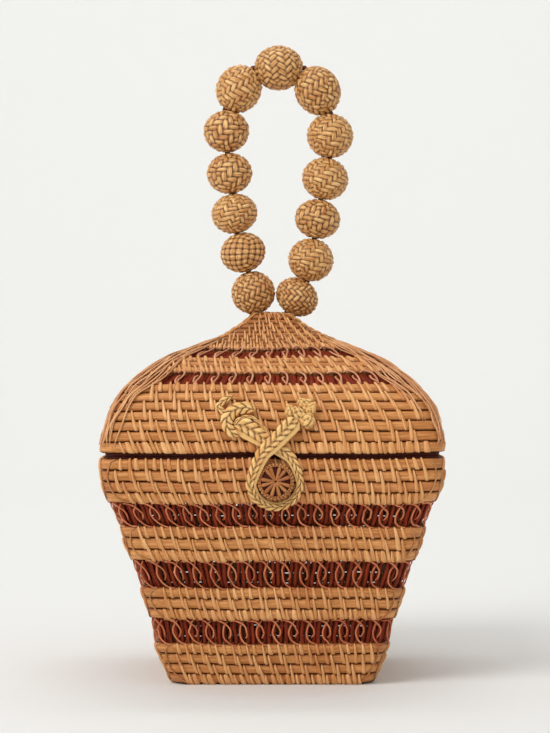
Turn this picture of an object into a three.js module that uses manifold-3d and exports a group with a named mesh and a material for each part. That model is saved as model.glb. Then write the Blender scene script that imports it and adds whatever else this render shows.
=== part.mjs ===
// Lidded basket bag woven in rattan, with a carrying loop of wound beads and a looped cord closure.
// Millimetres, +Z up, -Y is the front. The origin is the middle of the face that it stands on.

import * as THREE from 'three';
import { mergeVertices } from 'three/addons/utils/BufferGeometryUtils.js';
import Module from 'manifold-3d';

const wasm = await Module();
wasm.setup();

// Basket and lid
const rimWidth = 180;
const baseWidth = 108;
const crownWidth = 19;
const bodyHeight = 124;
const lidHeight = 75;
const wallThickness = 5;
const cornerRadius = 9;
const caneGroove = 1.3;
const baseThickness = 4.5;
const seatGap = 0.3;

// Openwork panels
const panelThickness = 3.2;
const panelRecess = 1.2;
const stakeWidth = 4.4;
const panelEdge = 1.4;
const shoulder = 0.6;
const lean = 0.06;

// Bundles of strands along the hips of the lid
const bindingWidth = 9;
const bindingThickness = 1.8;

// Hinge at the back
const pinDiameter = 3.6;
const pinClearance = 0.4;
const knuckleWall = 1.4;
const knuckleLength = 9;
const hingeSpacing = 64;
const tailLength = 13;
const tailThickness = 2;

// Button and looped cord
const buttonDiameter = 18.6;
const buttonThickness = 3.6;
const buttonNeckDiameter = 11;
const buttonNeckLength = 1.6;
const buttonDrop = 13;
const buttonOffset = 1.7;
const loopWidth = 4.6;
const loopThickness = 2.8;
const loopClearance = 0.7;
const loopSag = 0.9;
const knotDiameter = 16;
const knotThickness = 7;

// Carrying loop
const cordDiameter = 3;
const boreClearance = 0.8;
const beadDiameter = 25.8;
const cordKnotDiameter = 8;

// Sections from the floor up. `top` is the height of a section's upper edge as a share of the body's or lid's
// height, `width` its half width there as a share of the way from the narrow end to the rim, and `bulge` how
// far its middle stands out, as a share of its length. A section has wound canes or openwork gaps.
const bodySections = [
  { name: 'body_band_4', canes: 4, top: 0.181, width: 0.242, bulge: 0.02 },
  { name: 'body_openwork_3', gaps: 6, top: 0.287, width: 0.3, bulge: 0 },
  { name: 'body_band_3', canes: 3, top: 0.43, width: 0.442, bulge: 0.03 },
  { name: 'body_openwork_2', gaps: 7, top: 0.545, width: 0.572, bulge: 0 },
  { name: 'body_band_2', canes: 3, top: 0.698, width: 0.731, bulge: 0.03 },
  { name: 'body_openwork_1', gaps: 8, top: 0.795, width: 0.867, bulge: 0 },
  { name: 'body_band_1', canes: 4, top: 1, width: 0.985, bulge: 0.085 },
];
const lidSections = [
  { name: 'lid_band_lower', canes: 7, top: 0.501, width: 0.806, bulge: 0.107 },
  { name: 'lid_openwork_lower', gaps: 6, top: 0.578, width: 0.719, bulge: 0 },
  { name: 'lid_band_upper', canes: 3, top: 0.685, width: 0.55, bulge: 0.02 },
  { name: 'lid_openwork_upper', gaps: 3, top: 0.75, width: 0.413, bulge: 0 },
  { name: 'lid_crown', canes: 6, top: 1, width: 0, bulge: -0.05 },
];

// Where the beads' string turns, beside the middle and above the crown, and each bead's size along and across
// the string as shares of beadDiameter. Bead 1 is the lowest on the left and bead 7 is at the top.
const stringTurns = [
  { x: -8, up: 0 },
  { x: -13.5, up: 23.5 },
  { x: -19.5, up: 45 },
  { x: -23, up: 67 },
  { x: -25, up: 90 },
  { x: -26.5, up: 114 },
  { x: -11, up: 137.5 },
  { x: 18, up: 137.5 },
  { x: 32.5, up: 112 },
  { x: 32, up: 87 },
  { x: 27, up: 64 },
  { x: 23.5, up: 42 },
  { x: 19.5, up: 18.2 },
  { x: 8, up: 0.6 },
];
const beadSizes = [
  { along: 0.86, across: 0.95 },
  { along: 0.84, across: 0.99 },
  { along: 0.83, across: 0.99 },
  { along: 0.84, across: 0.99 },
  { along: 0.91, across: 0.99 },
  { along: 0.92, across: 0.97 },
  { along: 0.94, across: 0.97 },
  { along: 0.93, across: 0.98 },
  { along: 0.92, across: 1 },
  { along: 0.86, across: 1 },
  { along: 0.83, across: 0.99 },
  { along: 0.86, across: 0.98 },
  { along: 0.81, across: 0.95 },
];

// The looped cord's two arms, beside the button's middle and above the rim. `lift` is 1 where the cord rides
// over its other arm.
const overArm = [
  { x: 6.8, up: 14.6, lift: 1 },
  { x: 4.6, up: 12.7, lift: 1 },
  { x: -1, up: 6.7, lift: 1 },
  { x: -7, up: 0.2, lift: 1 },
];
const underArm = [
  { x: 7.6, up: -1.1, lift: 0 },
  { x: 2, up: 4.1, lift: 0 },
  { x: -6.6, up: 7.5, lift: 0 },
  { x: -15.5, up: 12.5, lift: 0 },
  { x: -23.5, up: 15, lift: 0 },
  { x: -25, up: 21, lift: 0 },
  { x: -20, up: 25.5, lift: 0 },
  { x: -13, up: 25, lift: 0 },
];

// The knot's turns as round lobes, beside and above its middle, with their sizes, as shares of knotDiameter
const knotLobes = [
  { x: -0.27, up: -0.07, across: 0.46, tall: 0.72 },
  { x: 0.04, up: -0.12, across: 0.44, tall: 0.76 },
  { x: 0.3, up: -0.1, across: 0.4, tall: 0.56 },
  { x: 0.08, up: 0.3, across: 0.8, tall: 0.4 },
];

const finishes = {
  weave: { color: 0xc8965a, roughness: 0.62 },
  openwork: { color: 0x96583a, roughness: 0.66 },
  binding: { color: 0xcfa878, roughness: 0.6 },
  bead: { color: 0xcda05f, roughness: 0.6 },
  braid: { color: 0xd2b06e, roughness: 0.7 },
  cord: { color: 0x6a3a2a, roughness: 0.8 },
};

const bag = new THREE.Group();
const basket = new THREE.Group();
const lid = new THREE.Group();
bag.add(basket, lid);

const lidBottom = bodyHeight + seatGap;
const crownTop = lidBottom + lidHeight;

function addPiece(group, name, geometry, finish) {
  const piece = new THREE.Mesh(geometry, new THREE.MeshStandardMaterial({ ...finishes[finish], metalness: 0 }));
  piece.name = name;
  group.add(piece);
  return piece;
}

// Booleans on merged, closed meshes
function toSolid(geometry) {
  const bare = geometry.clone();
  bare.deleteAttribute('normal');
  bare.deleteAttribute('uv');
  const merged = mergeVertices(bare, 1e-4);
  return new wasm.Manifold(new wasm.Mesh({
    numProp: 3,
    vertProperties: new Float32Array(merged.attributes.position.array),
    triVerts: new Uint32Array(merged.index.array),
  }));
}

function fromSolid(solid) {
  const mesh = solid.getMesh();
  const geometry = new THREE.BufferGeometry();
  geometry.setAttribute('position', new THREE.BufferAttribute(mesh.vertProperties, 3));
  geometry.setIndex(new THREE.BufferAttribute(mesh.triVerts, 1));
  geometry.computeVertexNormals();
  return geometry;
}

// The wall as a line of stations in the (out, up) plane, with the way into the wall at each
function stationsOf(sections, bottom, height, startWidth, endWidth, narrowWidth) {
  const stations = [new THREE.Vector2(startWidth / 2, bottom)];
  for (const section of sections) {
    const halfWidth = narrowWidth / 2 + section.width * (endWidth - narrowWidth) / 2;
    stations.push(new THREE.Vector2(halfWidth, bottom + section.top * height));
  }
  return stations;
}

function outwardOf(from, to) {
  const run = to.clone().sub(from).normalize();
  return new THREE.Vector2(run.y, -run.x);
}

// One section's outline between its level joints: `at(share, depth)` is the point that far along the section
// and that deep in the wall.
function sectionOutline(stations, index, bulge, openFoot, openTop) {
  const from = stations[index];
  const to = stations[index + 1];
  const length = from.distanceTo(to);
  const trim = seatGap / 2 / (to.y - from.y);
  const start = from.clone().lerp(to, openFoot ? 0 : trim);
  const end = to.clone().lerp(from, openTop ? 0 : trim);
  const outward = outwardOf(from, to);
  return {
    length,
    at(share, depth) {
      const point = start.clone().lerp(end, share);
      point.addScaledVector(outward, 4 * bulge * length * share * (1 - share));
      point.x -= depth / outward.x;
      return point;
    },
  };
}

// A ring with a square plan and round corners, turned from a profile of { point, depth } rows
const cornerSteps = 3;
const planSteps = 4 * cornerSteps;

function planPoint(step, halfWidth, radius) {
  const corner = Math.floor(step / cornerSteps) % 4;
  const turn = (corner + (step % cornerSteps) / (cornerSteps - 1)) * Math.PI / 2;
  const centre = halfWidth - radius;
  const centreX = corner === 0 || corner === 3 ? centre : -centre;
  const centreY = corner < 2 ? centre : -centre;
  return new THREE.Vector2(centreX + radius * Math.cos(turn), centreY + radius * Math.sin(turn));
}

function squareLathe(profile) {
  const geometry = new THREE.LatheGeometry(profile.map((row) => row.point), planSteps);
  const position = geometry.attributes.position;
  for (let index = 0; index < position.count; index += 1) {
    const { point, depth } = profile[index % profile.length];
    const step = Math.floor(index / profile.length) % planSteps;
    const radius = Math.min(point.x, Math.max(cornerRadius - depth, cornerRadius / 4));
    const plan = planPoint(step, point.x, radius);
    position.setXYZ(index, plan.x, plan.y, point.y);
  }
  geometry.computeVertexNormals();
  return geometry;
}

// Each wound cane shows as a flat-topped ridge between two grooves
function canesProfile(outline, canes) {
  const profile = [];
  for (let cane = 0; cane < canes; cane += 1) {
    for (const [offset, depth] of [[0, caneGroove], [0.25, 0], [0.75, 0]]) {
      profile.push({ point: outline.at((cane + offset) / canes, depth), depth });
    }
  }
  profile.push({ point: outline.at(1, caneGroove), depth: caneGroove });
  return profile;
}

function innerProfile(outline) {
  return [1, 0.5, 0].map((share) => ({ point: outline.at(share, wallThickness), depth: wallThickness }));
}

function bandGeometry(outline, canes) {
  const profile = [...canesProfile(outline, canes), ...innerProfile(outline)];
  profile.push(profile[0]);
  return squareLathe(profile);
}

// The closed crown, drilled for the two ends of the cord and level inside above the cord's knots
function crownGeometry(outline, canes) {
  const onAxis = (up) => ({ point: new THREE.Vector2(0, up), depth: cornerRadius });
  const inner = innerProfile(outline);
  const ceiling = inner[0].point;
  ceiling.y = crownTop - wallThickness;
  ceiling.x = Math.abs(stringTurns[0].x) + cordKnotDiameter / 2 + seatGap;
  const shell = squareLathe([onAxis(ceiling.y), ...inner, ...canesProfile(outline, canes), onAxis(crownTop)]);
  let solid = toSolid(shell);
  for (const end of [stringTurns[0], stringTurns[stringTurns.length - 1]]) {
    const drill = new THREE.CylinderGeometry(cordBore / 2, cordBore / 2, lidHeight, 12);
    drill.rotateX(Math.PI / 2);
    drill.translate(end.x, 0, crownTop);
    solid = solid.subtract(toSolid(drill));
  }
  return fromSolid(solid);
}

// A staked openwork panel, drawn flat in shares of its width and height and then set into its side
function panelGeometry(outline, gaps, side) {
  const halfWidth = outline.at(0.5, panelRecess).x;
  const stake = stakeWidth / halfWidth / 2;
  const edge = panelEdge / outline.length;
  const shape = new THREE.Shape([[-1, 0], [1, 0], [1, 1], [-1, 1]].map((p) => new THREE.Vector2(...p)));
  const pitch = 2 / (gaps + 0.5);
  for (let gap = 0; gap < gaps; gap += 1) {
    const middle = (gap - (gaps - 1) / 2) * pitch;
    const reach = pitch / 2 - stake;
    shape.holes.push(new THREE.Path([
      new THREE.Vector2(middle - reach, edge),
      new THREE.Vector2(middle + reach, edge + lean),
      new THREE.Vector2(middle + reach, shoulder + lean),
      new THREE.Vector2(middle, 1 - edge),
      new THREE.Vector2(middle - reach, shoulder),
    ]));
  }
  const geometry = new THREE.ExtrudeGeometry(shape, { depth: 1, steps: 1, bevelEnabled: false });
  const position = geometry.attributes.position;
  const cornerGap = seatGap / Math.SQRT2;
  const cornerCut = cornerRadius / 3;
  for (let index = 0; index < position.count; index += 1) {
    const inside = 1 - position.getZ(index);
    const place = outline.at(position.getY(index), panelRecess + inside * panelThickness);
    const reach = place.x - cornerGap - cornerCut * (1 - inside);
    position.setXYZ(index, position.getX(index) * reach, -place.x, place.y);
  }
  geometry.rotateZ(side * Math.PI / 2);
  geometry.computeVertexNormals();
  return geometry;
}

const sideNames = ['front', 'right', 'back', 'left'];

function addWall(group, sections, stations) {
  sections.forEach((section, index) => {
    const openTop = index === sections.length - 1;
    const outline = sectionOutline(stations, index, section.bulge, index === 0, openTop);
    if (section.gaps) {
      sideNames.forEach((sideName, side) => {
        addPiece(group, `${section.name}_${sideName}`, panelGeometry(outline, section.gaps, side), 'openwork');
      });
    } else if (section.name === 'lid_crown') {
      addPiece(group, section.name, crownGeometry(outline, section.canes), 'weave');
    } else {
      addPiece(group, section.name, bandGeometry(outline, section.canes), 'weave');
    }
  });
}

const cordBore = cordDiameter + boreClearance;
const bodyStations = stationsOf(bodySections, 0, bodyHeight, baseWidth, rimWidth, baseWidth);
const lidStations = stationsOf(lidSections, lidBottom, lidHeight, rimWidth, rimWidth, crownWidth);

// Half width of the outside at a height, which the closure and the hinge lie against
function halfWidthAt(height) {
  const onLid = height >= lidBottom;
  const stations = onLid ? lidStations : bodyStations;
  const sections = onLid ? lidSections : bodySections;
  let index = 0;
  while (index < sections.length - 1 && stations[index + 1].y < height) index += 1;
  const outline = sectionOutline(stations, index, sections[index].bulge, true, true);
  let low = 0;
  let high = 1;
  for (let step = 0; step < 20; step += 1) {
    const middle = (low + high) / 2;
    if (outline.at(middle, 0).y < height) low = middle;
    else high = middle;
  }
  return outline.at(low, 0).x;
}

addWall(basket, bodySections, bodyStations);
addWall(lid, lidSections, lidStations);

// Floor of the basket, inside the lowest band
function basePanelGeometry() {
  const outline = sectionOutline(bodyStations, 0, bodySections[0].bulge, true, false);
  const depth = wallThickness + seatGap;
  const floorAt = (up) => {
    const share = up / outline.at(1, 0).y;
    return { point: new THREE.Vector2(outline.at(share, depth).x, up), depth };
  };
  const onAxis = (up) => ({ point: new THREE.Vector2(0, up), depth });
  return squareLathe([onAxis(0), floorAt(0), floorAt(baseThickness), onAxis(baseThickness)]);
}

addPiece(basket, 'base_panel', basePanelGeometry(), 'weave');

// A strand's section as shares of its width and thickness: flat, with its edges taken off
const strandSection = [
  [-0.5, -0.2], [-0.3, -0.5], [0.3, -0.5], [0.5, -0.2],
  [0.5, 0.2], [0.3, 0.5], [-0.3, 0.5], [-0.5, 0.2],
];

// A flat strand along a route. Each route row has a point and the way out of the surface there.
function strandGeometry(route, width, thickness) {
  const points = [];
  route.forEach(({ point, outward }, index) => {
    const before = route[Math.max(index - 1, 0)].point;
    const after = route[Math.min(index + 1, route.length - 1)].point;
    const along = after.clone().sub(before).normalize();
    const across = outward.clone().cross(along).normalize();
    const out = along.clone().cross(across);
    for (const [side, rise] of strandSection) {
      points.push(point.clone().addScaledVector(across, side * width).addScaledVector(out, rise * thickness));
    }
  });
  const sides = strandSection.length;
  const faces = [];
  for (let row = 0; row < route.length - 1; row += 1) {
    for (let side = 0; side < sides; side += 1) {
      const here = row * sides + side;
      const next = row * sides + (side + 1) % sides;
      faces.push(here, next, next + sides, here, next + sides, here + sides);
    }
  }
  const end = (route.length - 1) * sides;
  for (let side = 1; side < sides - 1; side += 1) {
    faces.push(0, side + 1, side, end, end + side, end + side + 1);
  }
  const geometry = new THREE.BufferGeometry().setFromPoints(points);
  geometry.setIndex(faces);
  geometry.computeVertexNormals();
  return geometry;
}

// Bundles that run over the hips from the lower band to the crown
function hipBindingGeometry(corner) {
  const rise = bindingThickness / 2 + seatGap;
  const reach = (point) => Math.SQRT2 * (point.x - cornerRadius) + cornerRadius;
  const flat = [];
  const addStation = (index, share) => {
    const outline = sectionOutline(lidStations, index, lidSections[index].bulge, true, true);
    const point = outline.at(share, 0);
    flat.push(new THREE.Vector2(reach(point), point.y));
  };
  addStation(0, 0.86);
  addStation(0, 0.93);
  addStation(1, 0);
  addStation(2, 0);
  addStation(2, 0.5);
  addStation(3, 0);
  addStation(4, 0);
  addStation(4, 0.12);
  const turn = (corner + 0.5) * Math.PI / 2;
  const direction = new THREE.Vector3(Math.cos(turn), Math.sin(turn), 0);
  const route = flat.map((point, index) => {
    const before = flat[Math.max(index - 1, 0)];
    const after = flat[Math.min(index + 1, flat.length - 1)];
    const normal = outwardOf(before, after);
    const seat = point.clone().addScaledVector(normal, rise);
    return {
      point: direction.clone().multiplyScalar(seat.x).setZ(seat.y),
      outward: direction.clone().multiplyScalar(normal.x).setZ(normal.y),
    };
  });
  return strandGeometry(route, bindingWidth, bindingThickness);
}

for (let corner = 0; corner < 4; corner += 1) {
  addPiece(lid, `hip_binding_${corner + 1}`, hipBindingGeometry(corner), 'binding');
}

// Hinge: a cane pin held by two knuckles on the basket, with two on the lid turning round it
const knuckleRadius = pinDiameter / 2 + pinClearance + knuckleWall;
const hingeBack = rimWidth / 2 + seatGap + knuckleRadius;
const hingeHeight = bodyHeight + seatGap / 2;

function knuckleGeometry(tailWay) {
  const inner = -knuckleRadius;
  const outer = inner + tailThickness;
  const meet = Math.sqrt(knuckleRadius ** 2 - outer ** 2);
  const shape = new THREE.Shape();
  shape.moveTo(inner, tailWay * tailLength);
  shape.lineTo(outer, tailWay * tailLength);
  const first = Math.atan2(tailWay * meet, outer);
  shape.absarc(0, 0, knuckleRadius, first, tailWay < 0 ? Math.PI : -Math.PI, tailWay > 0);
  const bore = new THREE.Path();
  bore.absarc(0, 0, pinDiameter / 2 + pinClearance, 0, 2 * Math.PI, tailWay < 0);
  shape.holes.push(bore);
  const geometry = new THREE.ExtrudeGeometry(shape, {
    depth: knuckleLength, steps: 1, bevelEnabled: false, curveSegments: 14,
  });
  geometry.translate(0, 0, -knuckleLength / 2);
  const turned = new THREE.Matrix4().makeBasis(
    new THREE.Vector3(0, 1, 0),
    new THREE.Vector3(0, 0, 1),
    new THREE.Vector3(1, 0, 0),
  );
  return geometry.applyMatrix4(turned);
}

function addHinge() {
  const step = knuckleLength + 2 * seatGap;
  const pinGeometry = new THREE.CylinderGeometry(pinDiameter / 2, pinDiameter / 2, hingeSpacing + 2 * step, 14);
  pinGeometry.rotateZ(Math.PI / 2);
  const pin = addPiece(basket, 'hinge_pin', pinGeometry, 'binding');
  pin.position.set(0, hingeBack, hingeHeight);
  for (const [sideName, way] of [['left', -1], ['right', 1]]) {
    const onBody = addPiece(basket, `body_hinge_${sideName}`, knuckleGeometry(-1), 'weave');
    onBody.position.set(way * (hingeSpacing + step) / 2, hingeBack, hingeHeight);
    const onLid = addPiece(lid, `lid_hinge_${sideName}`, knuckleGeometry(1), 'weave');
    onLid.position.set(way * (hingeSpacing - step) / 2, hingeBack, hingeHeight);
  }
}

addHinge();

// Button on the front, on a neck that the looped cord goes round
const buttonHeight = bodyHeight - buttonDrop;

function buttonGeometry() {
  const radius = buttonDiameter / 2;
  const neck = buttonNeckDiameter / 2;
  const profile = [
    [0, 0],
    [neck, 0],
    [neck, buttonNeckLength],
    [radius * 0.96, buttonNeckLength],
    [radius, buttonNeckLength + buttonThickness * 0.35],
    [radius * 0.86, buttonNeckLength + buttonThickness * 0.8],
    [radius * 0.45, buttonNeckLength + buttonThickness],
    [0, buttonNeckLength + buttonThickness * 0.9],
  ].map(([out, up]) => new THREE.Vector2(out, up));
  return new THREE.LatheGeometry(profile, 16).rotateX(Math.PI);
}

const button = addPiece(basket, 'closure_button', buttonGeometry(), 'weave');
const neckSeat = Math.max(halfWidthAt(buttonHeight), halfWidthAt(buttonHeight + buttonNeckDiameter / 2)) + seatGap;
button.position.set(buttonOffset, -neckSeat, buttonHeight);

// The cord runs from its knot, over its other arm, round the button and back to a hook on the lid
function closureRoute() {
  const loopRadius = buttonDiameter / 2 + loopClearance + loopWidth / 2;
  const startAngle = 0.97 * Math.PI;
  const sweep = 1.06 * Math.PI;
  const turns = 9;
  const rows = [...overArm];
  for (let turn = 0; turn < turns; turn += 1) {
    const angle = startAngle + sweep * turn / (turns - 1);
    const x = loopRadius * Math.cos(angle);
    const up = loopRadius * Math.sin(angle) - buttonDrop - loopSag;
    rows.push({ x, up, lift: Math.max(0, 1 - turn / 3) });
  }
  rows.push(...underArm);
  const smooth = new THREE.CatmullRomCurve3(rows.map((row) => new THREE.Vector3(row.x, row.lift, row.up)));
  const outward = new THREE.Vector3(0, -1, 0);
  return smooth.getSpacedPoints(closureSteps).map((point) => {
    const height = bodyHeight + point.z;
    const reach = loopWidth / 2;
    const seat = Math.max(halfWidthAt(height), halfWidthAt(height - reach), halfWidthAt(height + reach));
    const rise = seatGap + loopThickness / 2 + Math.min(Math.max(point.y, 0), 1) * (loopThickness + 2 * seatGap);
    return { point: new THREE.Vector3(buttonOffset + point.x, -seat - rise, height), outward };
  });
}

const closureSteps = 46;
const cordPath = closureRoute();
addPiece(lid, 'closure_loop', strandGeometry(cordPath, loopWidth, loopThickness), 'braid');

// The knot at the cord's first end, lying against the lid
function addKnot() {
  let solid = null;
  for (const lobe of knotLobes) {
    const ball = new THREE.SphereGeometry(0.5, 10, 7);
    ball.scale(lobe.across * knotDiameter, lobe.tall * knotDiameter, knotThickness);
    ball.translate(lobe.x * knotDiameter, lobe.up * knotDiameter, 0);
    solid = solid ? solid.add(toSolid(ball)) : toSolid(ball);
  }
  const start = cordPath[0].point;
  const away = start.clone().sub(cordPath[1].point).setY(0).normalize();
  const centre = start.clone().addScaledVector(away, knotDiameter / 2 + seatGap);
  const low = new THREE.Vector2(halfWidthAt(centre.z - knotDiameter / 2), centre.z - knotDiameter / 2);
  const high = new THREE.Vector2(halfWidthAt(centre.z + knotDiameter / 2), centre.z + knotDiameter / 2);
  const normal = outwardOf(low, high);
  const seat = new THREE.Vector2(halfWidthAt(centre.z), centre.z);
  seat.addScaledVector(normal, knotThickness / 2 + seatGap);
  const knot = addPiece(lid, 'closure_knot', fromSolid(solid), 'braid');
  knot.position.set(centre.x, -seat.x, seat.y);
  knot.rotation.x = Math.PI / 2 - Math.atan2(normal.y, normal.x);
}

addKnot();

// Carrying loop: a cord through the crown, knotted under it, with the beads threaded on it
const turnPoints = stringTurns.map((turn) => new THREE.Vector3(turn.x, 0, crownTop + turn.up));

function beadGeometry(along, across) {
  const bore = cordBore / 2;
  const radius = across / 2;
  const reach = Math.acos(bore / radius);
  const steps = 6;
  const profile = [];
  for (let step = 0; step <= steps; step += 1) {
    const angle = reach * (2 * step / steps - 1);
    const up = along / 2 * Math.sin(angle) / Math.sin(reach);
    profile.push(new THREE.Vector2(radius * Math.cos(angle), up));
  }
  profile.push(profile[0]);
  return new THREE.LatheGeometry(profile, 12);
}

beadSizes.forEach((size, index) => {
  const number = String(index + 1).padStart(2, '0');
  const geometry = beadGeometry(size.along * beadDiameter, size.across * beadDiameter);
  const bead = addPiece(lid, `bead_${number}`, geometry, 'bead');
  const from = turnPoints[index];
  const to = turnPoints[index + 1];
  bead.position.copy(from).lerp(to, 0.5);
  bead.quaternion.setFromUnitVectors(new THREE.Vector3(0, 1, 0), to.clone().sub(from).normalize());
});

// A cord of straight runs with mitred turns, all in the plane y = 0
function cordGeometry(points) {
  const sides = 8;
  const rings = [];
  points.forEach((point, index) => {
    const before = points[Math.max(index - 1, 0)];
    const after = points[Math.min(index + 1, points.length - 1)];
    const arriving = point.clone().sub(before).normalize();
    const leaving = after.clone().sub(point).normalize();
    const along = arriving.clone().add(leaving).normalize();
    const across = new THREE.Vector3(along.z, 0, -along.x);
    const stretch = 1 / Math.max(along.dot(index === 0 ? leaving : arriving), 0.5);
    for (let side = 0; side < sides; side += 1) {
      const angle = 2 * Math.PI * side / sides;
      rings.push(point.clone()
        .addScaledVector(across, stretch * cordDiameter / 2 * Math.cos(angle))
        .add(new THREE.Vector3(0, cordDiameter / 2 * Math.sin(angle), 0)));
    }
  });
  const faces = [];
  for (let row = 0; row < points.length - 1; row += 1) {
    for (let side = 0; side < sides; side += 1) {
      const here = row * sides + side;
      const next = row * sides + (side + 1) % sides;
      faces.push(here, next, next + sides, here, next + sides, here + sides);
    }
  }
  const end = (points.length - 1) * sides;
  for (let side = 1; side < sides - 1; side += 1) {
    faces.push(0, side + 1, side, end, end + side, end + side + 1);
  }
  const geometry = new THREE.BufferGeometry().setFromPoints(rings);
  geometry.setIndex(faces);
  return geometry;
}

function handleCordGeometry() {
  const knotUp = crownTop - wallThickness - seatGap - cordKnotDiameter / 2;
  const first = turnPoints[0].clone().setZ(knotUp);
  const last = turnPoints[turnPoints.length - 1].clone().setZ(knotUp);
  let solid = toSolid(cordGeometry([first, ...turnPoints, last]));
  for (const end of [first, last]) {
    const knot = new THREE.SphereGeometry(cordKnotDiameter / 2, 10, 6);
    knot.translate(end.x, end.y, end.z);
    solid = solid.add(toSolid(knot));
  }
  return fromSolid(solid);
}

addPiece(lid, 'handle_cord', handleCordGeometry(), 'cord');

export default bag;
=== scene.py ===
import math

import bpy
import numpy as np
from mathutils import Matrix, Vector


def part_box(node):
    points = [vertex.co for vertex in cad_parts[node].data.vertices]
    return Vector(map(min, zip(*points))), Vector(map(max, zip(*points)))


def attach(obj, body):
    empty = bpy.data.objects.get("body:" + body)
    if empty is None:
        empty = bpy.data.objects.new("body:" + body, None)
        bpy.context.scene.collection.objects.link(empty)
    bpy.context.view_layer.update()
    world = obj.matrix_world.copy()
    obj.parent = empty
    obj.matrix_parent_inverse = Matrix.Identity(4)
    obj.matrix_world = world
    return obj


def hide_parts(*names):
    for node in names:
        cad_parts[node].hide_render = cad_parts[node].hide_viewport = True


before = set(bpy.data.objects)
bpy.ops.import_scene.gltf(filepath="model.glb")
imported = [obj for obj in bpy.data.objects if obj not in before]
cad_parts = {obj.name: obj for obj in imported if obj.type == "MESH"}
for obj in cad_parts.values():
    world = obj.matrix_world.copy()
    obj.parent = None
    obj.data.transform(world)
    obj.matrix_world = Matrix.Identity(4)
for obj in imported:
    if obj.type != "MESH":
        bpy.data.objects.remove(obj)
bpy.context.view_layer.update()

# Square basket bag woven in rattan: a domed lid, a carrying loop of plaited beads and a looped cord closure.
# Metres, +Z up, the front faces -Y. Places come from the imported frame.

mm = 0.001
draw = np.random.default_rng(11)

# Camera: level, a little over a metre in front of the bag
photoView = {"distance": 1.231, "height": 0.179, "lens": 108.05, "shiftX": 0.0035, "shiftY": -0.0225}


def makeCamera(view):
    data = bpy.data.cameras.new("camera")
    camera = bpy.data.objects.new("camera", data)
    bpy.context.scene.collection.objects.link(camera)
    camera.location = (0, -view["distance"], view["height"])
    camera.rotation_euler = (math.pi / 2, 0, 0)
    data.lens = view["lens"]
    data.shift_x, data.shift_y = view["shiftX"], view["shiftY"]
    bpy.context.scene.camera = camera


makeCamera(photoView)
print("camera ready")


# One shader value. Sums, products and powers of these add their Math nodes.
class Signal:
    def __init__(self, paint, socket):
        self.paint, self.socket = paint, socket

    def math(self, operation, *values):
        return self.paint.node("ShaderNodeMath", {"operation": operation}, list(values))

    def __add__(self, other):
        return self.math("ADD", self, other)

    def __sub__(self, other):
        return self.math("SUBTRACT", self, other)

    def __rsub__(self, other):
        return self.math("SUBTRACT", other, self)

    def __mul__(self, other):
        return self.math("MULTIPLY", self, other)

    def __pow__(self, other):
        return self.math("POWER", self, other)

    __radd__ = __add__
    __rmul__ = __mul__

    # Share of the way from low to high, held between 0 and 1
    def between(self, low, high):
        settings = {"clamp": True, "interpolation_type": "SMOOTHSTEP"}
        return self.paint.node("ShaderNodeMapRange", settings, [self, low, high, 0.0, 1.0])

    def fraction(self):
        return self.math("FRACT", self)


# A material with one Principled shader
class Paint:
    def __init__(self, name):
        self.material = bpy.data.materials.new(name)
        self.material.use_nodes = True
        self.tree = self.material.node_tree
        self.shader = self.tree.nodes["Principled BSDF"]

    # Adds a node: its settings first, then its sockets by place or by name. Gives back one output.
    def node(self, kind, settings=None, sockets=(), output=0):
        made = self.tree.nodes.new(kind)
        for name, value in (settings or {}).items():
            setattr(made, name, value)
        pairs = sockets.items() if isinstance(sockets, dict) else enumerate(sockets)
        for key, value in pairs:
            self.feed(made.inputs[key], value)
        return Signal(self, made.outputs[output])

    def feed(self, socket, value):
        if isinstance(value, Signal):
            self.tree.links.new(value.socket, socket)
        elif value is not None:
            socket.default_value = value

    def attribute(self, name, output):
        return self.node("ShaderNodeAttribute", {"attribute_name": name}, output=output)

    def split(self, vector):
        made = self.tree.nodes.new("ShaderNodeSeparateXYZ")
        self.feed(made.inputs[0], vector)
        return [Signal(self, socket) for socket in made.outputs]

    def join(self, x, y, z):
        return self.node("ShaderNodeCombineXYZ", None, [x, y, z])

    def noise(self, vector, scale, detail=2.0, roughness=0.55):
        sockets = {"Vector": vector, "Scale": scale, "Detail": detail, "Roughness": roughness}
        return self.node("ShaderNodeTexNoise", {"noise_dimensions": "3D"}, sockets, "Fac")

    def blend(self, factor, first, second):
        return self.node("ShaderNodeMix", {"data_type": "RGBA"}, {0: factor, 6: first, 7: second}, 2)

    def place(self):
        return self.node("ShaderNodeTexCoord", output="Object")

    def bump(self, height, distance):
        return self.node("ShaderNodeBump", None, {"Strength": 1.0, "Distance": distance, "Height": height})

    def finish(self, color, roughness, normal, **fixed):
        self.feed(self.shader.inputs["Base Color"], color)
        self.feed(self.shader.inputs["Roughness"], roughness)
        self.feed(self.shader.inputs["Normal"], normal)
        for name, value in fixed.items():
            self.shader.inputs[name.replace("_", " ")].default_value = value
        return self.material


# A screen colour from 0 to 255 as the shader's linear one
def colour(red, green, blue):
    parts = (red, green, blue)
    linear = [((part / 255 + 0.055) / 1.055) ** 2.4 if part > 10 else part / 3294.6 for part in parts]
    return (*linear, 1.0)


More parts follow.
